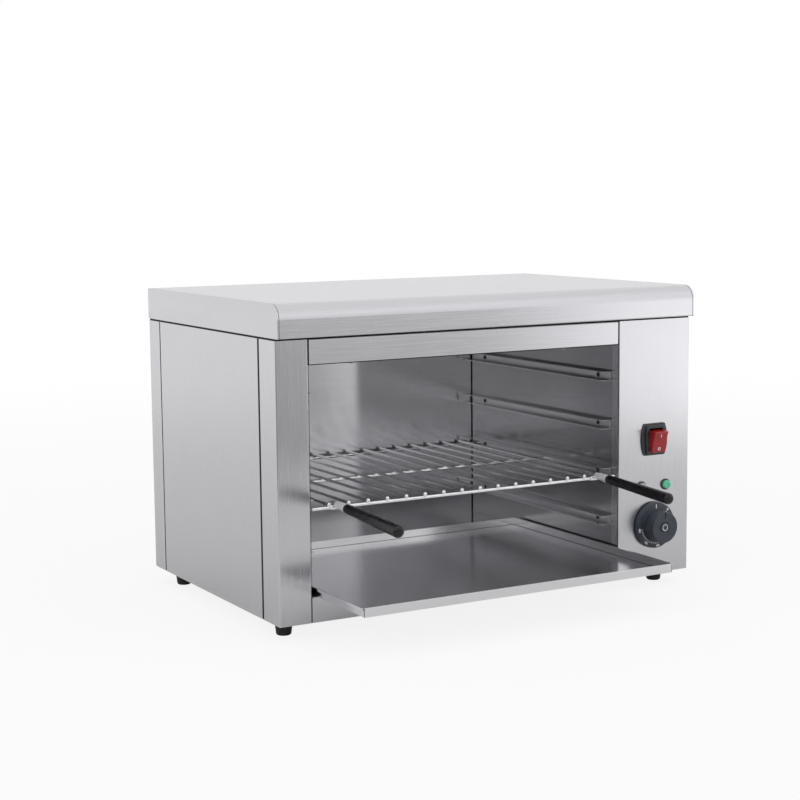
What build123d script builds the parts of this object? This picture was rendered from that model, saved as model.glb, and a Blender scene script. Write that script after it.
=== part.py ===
from build123d import *
import os
from math import cos, radians, sin

# A counter-top cheese melter: a folded stainless case with an open cavity, tubular
# heaters under its roof, a wire rack on side runners, a drip tray on the cavity
# floor, and the controls in a closed compartment at the right.
# X runs to the right along the front, Y to the rear, Z up. The origin is at the
# centre of the whole object's footprint, on the surface that the feet stand on.
# All sizes are in millimetres.

# Case
body_width = 600.0
body_depth = 392.0
body_height = 335.0
sheet = 1.0
bend = 1.6  # outer radius of a fold
post_width = 42.0  # front face left of the opening
control_width = 114.0  # front face right of the opening
lintel_height = 30.0
rail_height = 31.0
front_return = 14.0  # how far the front sheets fold back beside the opening
seam = 0.4  # joint between neighbouring front sheets
corner_strip = 45.0  # side face of the front corner sheets
front_groove = 2.0
rear_strip = 37.0  # side face of the rear corner sheets
rear_groove = 1.0
edge_return = 10.0  # inward fold at the edges of the side sheets
back_corner = 40.0  # rear face of the rear corner sheets
back_return = 12.0
rear_gap = 33.0  # from the rear liner to the back face

# Cover
cover_height = 40.0
cover_front_overhang = 8.5
cover_side_overhang = 0.5
bullnose = 18.0
cover_lip = 12.0
top_plate_inset = 6.0
seal_inset = 7.0
seal_width = 10.0
seal_thickness = 1.5

# Feet
foot_height = 20.0
foot_inset_x = 24.0
foot_inset_y = 41.0
foot_top_r = 11.5
foot_bottom_r = 9.0
foot_edge = 1.2
foot_recess_r = 5.5
foot_recess_depth = 8.0
foot_screw_r = 2.5
foot_screw_head_r = 4.5
foot_screw_head = 3.0
foot_nut_r = 4.6
foot_nut = 4.0
screw_clearance = 0.1

# Runners
runner_levels = 4
runner_first = 68.0  # underside of the lowest runner above the case's underside
runner_pitch = 63.0
rack_level = 2  # the level, counted from the lowest as 1, that carries the rack
runner_height = 12.2
runner_depth = 13.0
runner_front = 18.0
runner_rear_gap = 4.0
rivet_inset_front = 25.0
rivet_inset_rear = 34.0
rivet_r = 1.6
rivet_head_r = 3.0
rivet_head = 1.2
rivet_tail = 2.2

# Rack
rod_d = 4.6
wire_d = 3.9
wire_count = 16
wire_inset = 25.5  # outer wires from the opening's sides
weld_sink = 0.45  # how far welded wires sink into each other
rack_play = 0.3  # under the cross rods
rack_side_play = 2.5  # beside the cross rods' ends
wire_front = 1.0  # wire ends behind the front face
wire_end_edge = 0.9
rack_rear_gap = 4.0  # from the wires' ends to the rear liner
rod_inset = 3.5  # outer cross rods from the wires' ends
handle_inset = 34.5  # handles from the opening's sides
handle_droop = 3.0
tang_d = 5.0
tang_tail = 8.0  # behind the front cross rod
tang_grip = 70.0  # inside the grip
ferrule_start = 4.0
ferrule_length = 26.0
ferrule_r = 3.7
grip_length = 126.0
grip_rear_r = 5.7
grip_front_r = 7.1
grip_round = 4.6
grip_edge = 1.0
grip_fit = 0.05

# Drip tray
tray_side_gap = 6.0  # from the opening's sides
tray_rear_gap = 3.5  # from the rear liner when the tray is home
tray_height = 11.0
tray_pulled_out = 117.5
tray_closed_proud = 1.5  # front wall ahead of the case when the tray is home
tray_play = 0.3
tray_hem = 2.6
tray_hem_drop = 3.4
tray_hem_flat = 0.2  # left flat between the hem's two rounds

# Heaters
heater_count = 3
heater_r = 3.6
heater_drop = 14.0  # below the reflector
heater_leg_gap = 46.0
heater_pitch = 106.0
heater_front = 46.0
heater_left_gap = 26.0
heater_bush_r = 7.0
heater_bush = 4.0
heater_thread_r = 5.4
heater_nut_r = 8.0
heater_nut = 3.5
heater_cold_end = 24.0
reflector_drop = 13.0  # below the top plate
bracket_inset = 70.0
bracket_below = 7.0
heater_play = 0.3

# Rocker switch
switch_up = 178.5  # centre above the case's underside
switch_frame_w = 33.0
switch_frame_h = 42.0
frame_corner = 3.0
frame_edge = 0.7
switch_bow = 4.4  # how far the long sides of the frame bow out
switch_flange = 2.4
collar_w = 29.0
collar_h = 38.5
collar_out = 5.4
collar_bow = 1.0
collar_edge = 1.2
collar_open_w = 22.4
collar_open_h = 29.8
collar_open_corner = 0.8
sleeve_w = 25.0
sleeve_h = 32.0
sleeve_corner = 1.0
sleeve_depth = 9.0
rocker_w = 21.6
rocker_half_h = 14.4
rocker_reach = 11.9
rocker_dish = 1.0
rocker_tail_half_h = 12.6
rocker_tail = 1.0  # behind the pivot
rocker_pivot_out = 3.0
rocker_pin_r = 1.5
rocker_pin = 1.6
rocker_tilt = 14.0
rocker_edge = 1.2
pin_fit = 0.06
switch_body_w = 24.0
switch_body_h = 31.0
switch_body_depth = 22.0
switch_body_edge = 1.5
spade_w = 6.3
spade_t = 0.8
spade_length = 9.0
spade_root = 1.0

# Pilot lamps
lamp_up = 117.0
lamp_spread = 39.0
lens_r = 7.3
lens_out = 5.6
lens_rim = 1.8
lens_rim_edge = 0.6
lens_step = 1.6
lens_round = 2.2
lamp_body_r = 5.0
lamp_body_depth = 24.0
lamp_spade_w = 4.2
lamp_hole_fit = 0.15
lamp_clip_r = 7.5
lamp_clip = 1.5

# Thermostat and its knob
knob_up = 65.0
knob_r = 30.7
knob_face_r = 30.2
knob_skirt = 5.6
knob_grip_base_r = 21.1
knob_grip_r = 20.3
knob_depth = 25.8
knob_wall = 2.2
knob_gap = 1.2
knob_round = 1.4
knob_hub_r = 6.0
knob_hub_end = 3.0
pointer_w = 2.2
pointer_length = 9.0
pointer_depth = 0.8
cap_r = 6.4
cap_recess = 1.0
cap_thickness = 1.2
cap_edge = 0.4
spindle_r = 3.0
spindle_flat = 1.2
spindle_fit = 0.04
spindle_top = 3.5  # below the knob's face
spindle_seat = 8.0
spindle_hole_r = 6.0
thermostat_w = 42.0
thermostat_h = 46.0
thermostat_depth = 26.0
thermostat_corner = 4.0
thermostat_screw_gap = 28.0
thermostat_screw_r = 2.0
thermostat_screw_head_r = 3.5
thermostat_screw_head = 1.4
bulb_r = 3.2
bulb_length = 96.0
bulb_round = 1.9
bulb_up = 285.0
bulb_front = 90.0
capillary_r = 1.0
capillary_run = 28.0  # straight out of the thermostat
capillary_bend_r = 6.3
clip_width = 12.0
clip_inset = 19.0
clip_wall = 0.8

# Supply
gland_up = 44.0
gland_in = 57.0  # from the case's right side
gland_bore_r = 4.6
gland_thread_r = 8.0
gland_hex_r = 11.5
gland_hex = 5.0
gland_dome_r = 9.5
gland_round = 3.0
gland_reach = 19.0  # out of the back panel
gland_inside = 10.0
locknut_r = 11.5
locknut = 4.0
terminal_w = 46.0
terminal_d = 20.0
terminal_h = 17.0
terminal_ways = 4
terminal_screw_r = 2.2
terminal_groove = 1.0
terminal_gap = 50.0

# Vents and back panel screws
vent_w = 4.0
vent_l = 34.0
vent_pitch = 12.0
vent_count = 8
vent_top_gap = 40.0
base_vent_count = 6
base_vent_rear_gap = 120.0
back_screw_r = 1.75
back_screw_head_r = 3.6
back_screw_head = 1.6
back_screw_tail = 4.0
back_screw_inset = 6.0
back_screw_rows = 3

# Levels and faces that follow from the sizes above
left = -body_width / 2
right = body_width / 2
opening_left = left + post_width
opening_right = right - control_width
opening_mid = (opening_left + opening_right) / 2
opening_width = opening_right - opening_left
control_x = (opening_right + right) / 2
base = foot_height
pan_top = base + sheet
top = base + body_height
cavity_floor_z = base + rail_height
reflector_z = top - reflector_drop
cover_bottom = top + sheet + seal_thickness
cover_top = cover_bottom + cover_height

rack_flange_z = base + runner_first + runner_pitch * (rack_level - 1) + sheet
rod_z = rack_flange_z + rack_play + rod_d / 2
wire_z = rod_z + (rod_d + wire_d) / 2 - weld_sink
tang_z = rod_z + (rod_d + tang_d) / 2 - weld_sink
grip_start = ferrule_start + ferrule_length
grip_end = grip_start + grip_length
droop = radians(handle_droop)
handle_reach = (
    (grip_end - grip_round) * cos(droop)
    + (grip_front_r - grip_round) * sin(droop)
    + grip_round
    - wire_front
    - rod_inset
)
front = (handle_reach - body_depth - gland_reach) / 2
rear = front + body_depth
cavity_rear = rear - rear_gap - sheet
wall_front = front + front_return
rod_front_y = front + wire_front + rod_inset
cavity_depth = cavity_rear - front
wire_length = cavity_depth - rack_rear_gap - wire_front
wire_pitch = (opening_width - 2 * wire_inset) / (wire_count - 1)
handle_spread = opening_width - 2 * handle_inset
tray_width = opening_width - 2 * tray_side_gap
tray_length = cavity_depth - tray_rear_gap + tray_closed_proud


def slab(x_range, y_range, z_range):
    """A box between two corners, given as one (low, high) pair for each axis."""
    size = [high - low for low, high in (x_range, y_range, z_range)]
    middle = [(low + high) / 2 for low, high in (x_range, y_range, z_range)]
    return Pos(*middle) * Box(*size)


def rod_x(radius, x_range, y, z):
    """A round bar along X."""
    length = x_range[1] - x_range[0]
    return Pos((x_range[0] + x_range[1]) / 2, y, z) * Rot(0, 90, 0) * Cylinder(radius, length)


def rod_y(radius, x, y_range, z):
    """A round bar along Y."""
    length = y_range[1] - y_range[0]
    return Pos(x, (y_range[0] + y_range[1]) / 2, z) * Rot(90, 0, 0) * Cylinder(radius, length)


def rod_z_axis(radius, x, y, z_range):
    """A round bar along Z."""
    length = z_range[1] - z_range[0]
    return Pos(x, y, (z_range[0] + z_range[1]) / 2) * Cylinder(radius, length)


def hex_y(radius, x, y_range, z):
    """A hexagonal bar along Y, measured to its corners."""
    end = Plane((x, y_range[1], z), x_dir=(1, 0, 0), z_dir=(0, -1, 0))
    return extrude(end * RegularPolygon(radius, 6), y_range[1] - y_range[0])


def folded(plane, outer_line, length, radii=None, side=Side.LEFT):
    """A sheet folded along its outer line, which is run square to the plane."""
    if radii is None:
        radii = [bend] * (len(outer_line) - 2)
    with BuildPart() as part:
        with BuildSketch(plane):
            with BuildLine():
                FilletPolyline(*outer_line, radius=radii)
                offset(amount=sheet, side=side)
            make_face()
        extrude(amount=length)
    return part.part


def upright(outer_line):
    """A folded sheet that stands on the base pan and reaches the case's top."""
    return folded(Plane.XY.offset(pan_top), outer_line, top - pan_top)


def crosswise(outer_line, x_range, radii=None, side=Side.LEFT):
    """A folded sheet whose outline, in Y and Z, runs along X."""
    return folded(Plane.YZ.offset(x_range[0]), outer_line, x_range[1] - x_range[0], radii, side)


def lengthwise(outer_line, y_range, side=Side.LEFT):
    """A folded sheet whose outline, in X and Z, runs along Y."""
    return folded(Plane.XZ.offset(-y_range[1]), outer_line, y_range[1] - y_range[0], None, side)


def mirrored(solid):
    """The same solid on the other side of the case's middle plane."""
    return mirror(solid, about=Plane.YZ)


# Case sheets


def front_post_left():
    line = [
        (left + edge_return, front + corner_strip),
        (left, front + corner_strip),
        (left, front),
        (opening_left, front),
        (opening_left, wall_front),
    ]
    return upright(line)


def side_panel_left():
    rear_edge = rear - rear_strip - rear_groove
    front_edge = front + corner_strip + front_groove
    line = [
        (left + edge_return, rear_edge),
        (left, rear_edge),
        (left, front_edge),
        (left + edge_return, front_edge),
    ]
    return upright(line)


def rear_post_left():
    line = [
        (left + back_corner, rear - back_return),
        (left + back_corner, rear),
        (left, rear),
        (left, rear - rear_strip),
        (left + edge_return, rear - rear_strip),
    ]
    return upright(line)


def control_panel():
    line = [
        (opening_right, wall_front),
        (opening_right, front),
        (right, front),
        (right, front + corner_strip),
        (right - edge_return, front + corner_strip),
    ]
    panel = upright(line)
    through = (front - sheet, front + 2 * sheet)
    cut_half_w = sleeve_w / 2 + screw_clearance
    cut_half_h = sleeve_h / 2 + screw_clearance
    switch_z = base + switch_up
    panel -= slab(
        (control_x - cut_half_w, control_x + cut_half_w),
        through,
        (switch_z - cut_half_h, switch_z + cut_half_h),
    )
    for x in lamp_places():
        panel -= rod_y(lamp_body_r + lamp_hole_fit, x, through, base + lamp_up)
    panel -= rod_y(spindle_hole_r, control_x, through, base + knob_up)
    for x in thermostat_screw_places():
        panel -= rod_y(thermostat_screw_r + screw_clearance, x, through, base + knob_up)
    return panel


def back_panel():
    low = left + back_corner
    high = right - back_corner
    line = [(low, rear - back_return), (low, rear), (high, rear), (high, rear - back_return)]
    panel = folded(Plane.XY.offset(pan_top), line, top - pan_top, side=Side.RIGHT)
    through = (rear - 2 * sheet, rear + sheet)
    vent_z = top - vent_top_gap
    for column in range(vent_count):
        x = opening_mid + (column - (vent_count - 1) / 2) * vent_pitch
        panel -= slot_y(x, through, vent_z)
        panel -= slot_y(x + control_x - opening_mid, through, vent_z)
    panel -= rod_y(gland_thread_r + screw_clearance, gland_x(), through, base + gland_up)
    for x, z in back_screw_places():
        panel -= rod_y(back_screw_r + screw_clearance, x, through, z)
    return panel


def slot_y(x, y_range, z):
    """A round-ended upright vent slot, as a cutter."""
    end = Plane((x, y_range[1], z), x_dir=(0, 0, 1), z_dir=(0, -1, 0))
    return extrude(end * SlotOverall(vent_l, vent_w), y_range[1] - y_range[0])


def back_screw_places():
    """Centres of the screws at the two upright edges of the back panel."""
    step = (top - pan_top) / back_screw_rows
    rows = [pan_top + step * (row + 0.5) for row in range(back_screw_rows)]
    half = right - back_corner - back_screw_inset
    return [(x, z) for x in (-half, half) for z in rows]


def back_panel_screws():
    screws = []
    for x, z in back_screw_places():
        head = rod_y(back_screw_head_r, x, (rear, rear + back_screw_head), z)
        rim = head.edges().filter_by(GeomType.CIRCLE).sort_by(Axis.Y)[-1]
        head = chamfer(rim, back_screw_head / 2)
        shank = rod_y(back_screw_r, x, (rear - sheet - back_screw_tail, rear), z)
        screws.append(head + shank)
    return Compound(screws)


def lintel():
    line = [
        (wall_front, top),
        (front, top),
        (front, top - lintel_height),
        (wall_front, top - lintel_height),
    ]
    return crosswise(line, (opening_left + seam, opening_right - seam))


def base_rail():
    line = [(wall_front, cavity_floor_z), (front, cavity_floor_z), (front, pan_top)]
    return crosswise(line, (opening_left + seam, opening_right - seam))


def base_pan():
    pan = slab((left, right), (front, rear), (base, pan_top))
    pan = fillet(pan.edges().filter_by(Axis.Z), bend)
    for x, y in foot_places():
        pan -= rod_z_axis(foot_screw_r + screw_clearance, x, y, (base - sheet, pan_top + sheet))
    for row in range(base_vent_count):
        y = rear - base_vent_rear_gap - row * vent_pitch
        cutter = Plane((control_x, y, base - sheet)) * SlotOverall(vent_l, vent_w)
        pan -= extrude(cutter, 3 * sheet)
    return pan


# Cavity sheets


def cavity_floor():
    line = [
        (opening_left, pan_top),
        (opening_left, cavity_floor_z),
        (opening_right, cavity_floor_z),
        (opening_right, pan_top),
    ]
    return lengthwise(line, (wall_front, cavity_rear), side=Side.RIGHT)


def liner_left():
    wall = slab((opening_left - sheet, opening_left), (wall_front, cavity_rear), (pan_top, top))
    through = (opening_left - 2 * sheet, opening_left + sheet)
    for y, z in rivet_places():
        wall -= rod_x(rivet_r + screw_clearance, through, y, z)
    return wall


def liner_right():
    wall = slab((opening_right, opening_right + sheet), (wall_front, cavity_rear), (pan_top, top))
    through = (opening_right - sheet, opening_right + 2 * sheet)
    for y, z in rivet_places():
        wall -= rod_x(rivet_r + screw_clearance, through, y, z)
    for y in heater_leg_places():
        wall -= rod_x(heater_thread_r + screw_clearance, through, y, heater_z())
    return wall


def liner_rear():
    span = (opening_left - sheet, opening_right + sheet)
    return slab(span, (cavity_rear, cavity_rear + sheet), (pan_top, top))


def reflector():
    line = [
        (opening_left, top),
        (opening_left, reflector_z),
        (opening_right, reflector_z),
        (opening_right, top),
    ]
    return lengthwise(line, (wall_front, cavity_rear))


# Top


def top_plate():
    return slab(
        (left + top_plate_inset, right - top_plate_inset),
        (front + top_plate_inset, rear - top_plate_inset),
        (top, top + sheet),
    )


def cover_seal():
    x_out = (left + seal_inset, right - seal_inset)
    y_out = (front + seal_inset, rear - seal_inset)
    level = (top + sheet, cover_bottom)
    ring = slab(x_out, y_out, level)
    return ring - slab(
        (x_out[0] + seal_width, x_out[1] - seal_width),
        (y_out[0] + seal_width, y_out[1] - seal_width),
        level,
    )


def cover_line():
    """The cover's outline from its front edge over the bullnose to its rear edge."""
    nose = front - cover_front_overhang
    return [(nose, cover_bottom), (nose, cover_top), (rear, cover_top), (rear, cover_bottom)]


def top_cover():
    front_lip = front + seal_inset + seal_width
    rear_lip = rear - seal_inset - seal_width
    line = [(front_lip, cover_bottom)] + cover_line() + [(rear_lip, cover_bottom)]
    ends = (left - cover_side_overhang + sheet, right + cover_side_overhang - sheet)
    return crosswise(line, ends, [bend, bullnose, bend, bend], side=Side.RIGHT)


def cover_end_left():
    outer = left - cover_side_overhang
    with BuildPart() as part:
        with BuildSketch(Plane.YZ.offset(outer)):
            with BuildLine():
                line = cover_line()
                FilletPolyline(*line, radius=[bullnose, bend])
                Line(line[-1], line[0])
            make_face()
        extrude(amount=sheet)
    lip_front = front + seal_inset + seal_width
    lip_rear = rear - seal_inset - seal_width
    lip = slab(
        (outer, left + seal_inset + cover_lip - seal_width / 2),
        (lip_front, lip_rear),
        (cover_bottom, cover_bottom + sheet),
    )
    return part.part + lip


# Feet


def foot_places():
    xs = (left + foot_inset_x, right - foot_inset_x)
    ys = (front + foot_inset_y, rear - foot_inset_y)
    return [(x, y) for y in ys for x in xs]


def foot(x, y):
    body = Pos(x, y, base / 2) * Cone(foot_bottom_r, foot_top_r, base)
    body = chamfer(body.edges().sort_by(Axis.Z)[0], foot_edge)
    body -= rod_z_axis(foot_recess_r, x, y, (0, foot_recess_depth))
    return body - rod_z_axis(foot_screw_r + screw_clearance, x, y, (0, base))


def foot_screws():
    screws = []
    for x, y in foot_places():
        head_z = foot_recess_depth
        head = rod_z_axis(foot_screw_head_r, x, y, (head_z - foot_screw_head, head_z))
        shank = rod_z_axis(foot_screw_r, x, y, (head_z - sheet, pan_top + foot_nut + sheet))
        screws.append(head + shank)
    return Compound(screws)


def foot_nuts():
    nuts = []
    for x, y in foot_places():
        outline = Plane((x, y, pan_top)) * RegularPolygon(foot_nut_r, 6)
        nut = extrude(outline, foot_nut)
        nuts.append(nut - rod_z_axis(foot_screw_r + grip_fit, x, y, (base, top)))
    return Compound(nuts)


# Runners


def runner_z(level):
    """Underside of a runner, with the lowest as level 1."""
    return base + runner_first + runner_pitch * (level - 1)


def rivet_ys():
    return (front + runner_front + rivet_inset_front, cavity_rear - runner_rear_gap - rivet_inset_rear)


def rivet_places():
    levels = range(1, runner_levels + 1)
    return [(y, runner_z(level) + runner_height / 2) for level in levels for y in rivet_ys()]


def runner(level):
    """One left-hand channel, open towards the cavity."""
    low = runner_z(level)
    high = low + runner_height
    line = [
        (opening_left + runner_depth, low),
        (opening_left, low),
        (opening_left, high),
        (opening_left + runner_depth, high),
    ]
    span = (front + runner_front, cavity_rear - runner_rear_gap)
    channel = lengthwise(line, span, side=Side.RIGHT)
    for y in rivet_ys():
        hole = (opening_left - sheet, opening_left + 2 * sheet)
        channel -= rod_x(rivet_r + screw_clearance, hole, y, low + runner_height / 2)
    return channel


def runners_left():
    return [runner(level) for level in range(1, runner_levels + 1)]


def across_cavity(solids):
    """The same solids at the other side wall of the cavity."""
    return [Pos(2 * opening_mid, 0, 0) * mirrored(solid) for solid in solids]


def rivets_left():
    rivets = []
    for y, z in rivet_places():
        seat = opening_left + sheet
        head = rod_x(rivet_head_r, (seat, seat + rivet_head), y, z)
        rim = head.edges().filter_by(GeomType.CIRCLE).sort_by(Axis.X)[-1]
        head = chamfer(rim, rivet_head / 2)
        shank = rod_x(rivet_r, (opening_left - sheet - rivet_tail, seat), y, z)
        rivets.append(head + shank)
    return rivets


# Rack


def wire_places():
    return [opening_mid + (n - (wire_count - 1) / 2) * wire_pitch for n in range(wire_count)]


def rod_places():
    wire_rear_y = front + wire_front + wire_length
    return [rod_front_y, (front + wire_front + wire_rear_y) / 2, wire_rear_y - rod_inset]


def handle_places():
    return (opening_mid - handle_spread / 2, opening_mid + handle_spread / 2)


def handle_axis(x):
    """A frame at the front cross rod, with +Z along a handle towards the user."""
    return Plane((x, rod_front_y, tang_z), x_dir=(1, 0, 0), z_dir=(0, -cos(droop), -sin(droop)))


def rack_grid():
    half = opening_width / 2 - sheet - rack_side_play
    grid = rod_x(rod_d / 2, (opening_mid - half, opening_mid + half), rod_places()[0], rod_z)
    for y in rod_places()[1:]:
        grid += rod_x(rod_d / 2, (opening_mid - half, opening_mid + half), y, rod_z)
    wires = []
    for x in wire_places():
        start = front + wire_front
        wire = rod_y(wire_d / 2, x, (start, start + wire_length), wire_z)
        wires.append(chamfer(wire.edges().filter_by(GeomType.CIRCLE), wire_end_edge))
    grid = grid + wires
    for x in handle_places():
        tang_end = grip_start + tang_grip
        tang = Pos(0, 0, (tang_end - tang_tail) / 2) * Cylinder(tang_d / 2, tang_end + tang_tail)
        grid += handle_axis(x) * tang
    return grid


def handle_ferrule(x):
    sleeve = Cylinder(ferrule_r, ferrule_length) - Cylinder(tang_d / 2 + grip_fit, ferrule_length)
    return handle_axis(x) * Pos(0, 0, ferrule_start + ferrule_length / 2) * sleeve


def handle_grip(x):
    line = [(0, grip_start), (grip_rear_r, grip_start), (grip_front_r, grip_end), (0, grip_end)]
    with BuildPart() as part:
        with BuildSketch(Plane.XZ):
            with BuildLine():
                Polyline(*line, close=True)
            make_face()
        revolve(axis=Axis.Z)
        fillet(part.edges().filter_by(GeomType.CIRCLE).sort_by(Axis.Z)[-1], grip_round)
        fillet(part.edges().filter_by(GeomType.CIRCLE).sort_by(Axis.Z)[0], grip_edge)
    depth = tang_grip + grip_fit
    bore = Pos(0, 0, grip_start + depth / 2) * Cylinder(tang_d / 2 + grip_fit, depth)
    return handle_axis(x) * (part.part - bore)


# Drip tray


def drip_tray():
    y_front = front - tray_closed_proud - tray_pulled_out
    x_range = (opening_mid - tray_width / 2, opening_mid + tray_width / 2)
    y_range = (y_front, y_front + tray_length)
    low = cavity_floor_z + tray_play
    high = low + tray_height
    shell = slab(x_range, y_range, (low, high))
    edges = shell.edges().group_by(Axis.Z)[0] + shell.edges().filter_by(Axis.Z)
    shell = fillet(edges, bend)
    inside = slab(
        (x_range[0] + sheet, x_range[1] - sheet),
        (y_range[0] + sheet, y_range[1] - sheet),
        (low + sheet, high + sheet),
    )
    inner_edges = inside.edges().group_by(Axis.Z)[0] + inside.edges().filter_by(Axis.Z)
    shell -= fillet(inner_edges, bend - sheet)
    hem_y = (y_range[0] + bend, y_range[1] - bend)
    for x_edge, way in ((x_range[0], -1), (x_range[1], 1)):
        across = sorted((x_edge, x_edge + way * tray_hem))
        hem = slab(across, hem_y, (high - tray_hem_drop, high))
        outer = hem.edges().filter_by(Axis.Y).sort_by(Axis.X)
        outer = outer[-2:] if way > 0 else outer[:2]
        shell += fillet(outer, (tray_hem - tray_hem_flat) / 2)
    return shell


# Heaters


def heater_z():
    return reflector_z - heater_drop


def heater_leg_pairs():
    pairs = []
    for n in range(heater_count):
        y = front + heater_front + n * heater_pitch
        pairs.append((y, y + heater_leg_gap))
    return pairs


def heater_leg_places():
    return [y for pair in heater_leg_pairs() for y in pair]


def heater_element(pair):
    """A hairpin tube with its threaded bushes at the right wall."""
    z = heater_z()
    bend_x = opening_left + heater_left_gap + heater_leg_gap / 2
    end_x = opening_right + sheet + heater_cold_end
    middle_y = (pair[0] + pair[1]) / 2
    turn = Torus(heater_leg_gap / 2, heater_r, major_angle=180, align=None)
    element = Pos(bend_x, middle_y, z) * Rot(0, 0, 90) * turn
    for y in pair:
        element += rod_x(heater_r, (bend_x, end_x), y, z)
        element += rod_x(heater_bush_r, (opening_right - heater_bush, opening_right), y, z)
        thread_end = opening_right + sheet + heater_nut + sheet
        element += rod_x(heater_thread_r, (opening_right, thread_end), y, z)
    return element


def heater_nuts():
    nuts = []
    face_x = opening_right + sheet
    for y in heater_leg_places():
        outline = Plane.YZ.offset(face_x) * Pos(y, heater_z()) * RegularPolygon(heater_nut_r, 6)
        hole = rod_x(heater_thread_r + grip_fit, (face_x, face_x + heater_nut), y, heater_z())
        nuts.append(extrude(outline, heater_nut) - hole)
    return Compound(nuts)


def bracket_places():
    return (opening_left + bracket_inset, opening_right - bracket_inset)


def heater_bracket(x):
    """A folded strip under the reflector that holds the heaters' legs."""
    low = heater_z() - bracket_below
    line = [(x + edge_return, reflector_z), (x, reflector_z), (x, low)]
    legs = heater_leg_places()
    y_range = (legs[0] - heater_leg_gap / 2, legs[-1] + heater_leg_gap / 2)
    strip = lengthwise(line, y_range)
    for y in legs:
        strip -= rod_x(heater_r + heater_play, (x - sheet, x + 2 * sheet), y, heater_z())
    return strip


# Rocker switch


def bowed_outline(width, height, bulge):
    """A four-sided outline whose two upright sides bow out."""
    half_w = width / 2
    half_h = height / 2
    with BuildSketch() as sketch:
        with BuildLine():
            Line((-half_w, half_h), (half_w, half_h))
            ThreePointArc((half_w, half_h), (half_w + bulge, 0), (half_w, -half_h))
            Line((half_w, -half_h), (-half_w, -half_h))
            ThreePointArc((-half_w, -half_h), (-half_w - bulge, 0), (-half_w, half_h))
        make_face()
        fillet(sketch.vertices(), frame_corner)
    return sketch.sketch


def front_plane(x, z, out=0.0):
    """A plane on the front face that looks at the user."""
    return Plane((x, front - out, z), x_dir=(1, 0, 0), z_dir=(0, -1, 0))


def switch_frame():
    z = base + switch_up
    face = front_plane(control_x, z)
    inside = front_plane(control_x, z, -sleeve_depth)
    frame = extrude(face * bowed_outline(switch_frame_w, switch_frame_h, switch_bow), switch_flange)
    frame = chamfer(frame.faces().sort_by(Axis.Y)[0].edges(), frame_edge)
    collar = extrude(face * bowed_outline(collar_w, collar_h, collar_bow), collar_out)
    frame += fillet(collar.faces().sort_by(Axis.Y)[0].edges(), collar_edge)
    frame += extrude(inside * RectangleRounded(sleeve_w, sleeve_h, sleeve_corner), sleeve_depth)
    opening = inside * RectangleRounded(collar_open_w, collar_open_h, collar_open_corner)
    frame -= extrude(opening, sleeve_depth + collar_out)
    pin_half = rocker_w / 2 + rocker_pin + pin_fit
    pivot_y = front - rocker_pivot_out
    return frame - rod_x(rocker_pin_r + pin_fit, (control_x - pin_half, control_x + pin_half), pivot_y, z)


def rocker():
    """The rocker at OFF, with its upper half standing out."""
    with BuildPart() as part:
        with BuildSketch(Plane.YZ.offset(-rocker_w / 2)):
            with BuildLine():
                Polyline(
                    (-rocker_reach, -rocker_half_h),
                    (rocker_tail, -rocker_tail_half_h),
                    (rocker_tail, rocker_tail_half_h),
                    (-rocker_reach, rocker_half_h),
                )
                ThreePointArc(
                    (-rocker_reach, rocker_half_h),
                    (-rocker_reach + rocker_dish, 0),
                    (-rocker_reach, -rocker_half_h),
                )
            make_face()
        extrude(amount=rocker_w)
        fillet(part.faces().sort_by(Axis.Y)[0].edges(), rocker_edge)
    pins = rod_x(rocker_pin_r, (-rocker_w / 2 - rocker_pin, rocker_w / 2 + rocker_pin), 0, 0)
    place = Pos(control_x, front - rocker_pivot_out, base + switch_up) * Rot(rocker_tilt, 0, 0)
    return place * (part.part + pins)


def switch_body():
    z = base + switch_up
    low_y = front + sleeve_depth
    high_y = low_y + switch_body_depth
    body = slab(
        (control_x - switch_body_w / 2, control_x + switch_body_w / 2),
        (low_y, high_y),
        (z - switch_body_h / 2, z + switch_body_h / 2),
    )
    body = chamfer(body.faces().sort_by(Axis.Y)[-1].edges(), switch_body_edge)
    for x_way in (-1, 1):
        for z_way in (-1, 0, 1):
            x = control_x + x_way * switch_body_w / 4
            blade_z = z + z_way * switch_body_h / 3
            body += slab(
                (x - spade_w / 2, x + spade_w / 2),
                (high_y - spade_root, high_y + spade_length),
                (blade_z - spade_t / 2, blade_z + spade_t / 2),
            )
    return body


# Pilot lamps


def lamp_places():
    return (control_x - lamp_spread / 2, control_x + lamp_spread / 2)


def lamp_lens(x):
    z = base + lamp_up
    lens = rod_y(lens_r, x, (front - lens_rim, front), z)
    lens = chamfer(lens.edges().filter_by(GeomType.CIRCLE).sort_by(Axis.Y)[0], lens_rim_edge)
    dome = rod_y(lens_r - lens_step, x, (front - lens_out, front - lens_rim), z)
    return lens + fillet(dome.edges().filter_by(GeomType.CIRCLE).sort_by(Axis.Y)[0], lens_round)


def lamp_body(x):
    z = base + lamp_up
    rear_y = front + lamp_body_depth
    body = rod_y(lamp_body_r, x, (front, rear_y), z)
    for way in (-1, 1):
        blade_x = x + way * lamp_body_r / 2
        body += slab(
            (blade_x - spade_t / 2, blade_x + spade_t / 2),
            (rear_y - spade_root, rear_y + spade_length),
            (z - lamp_spade_w / 2, z + lamp_spade_w / 2),
        )
    return body


def lamp_clips():
    clips = []
    for x in lamp_places():
        level = (front + sheet, front + sheet + lamp_clip)
        ring = rod_y(lamp_clip_r, x, level, base + lamp_up)
        clips.append(ring - rod_y(lamp_body_r + grip_fit, x, level, base + lamp_up))
    return Compound(clips)


# Thermostat


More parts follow.
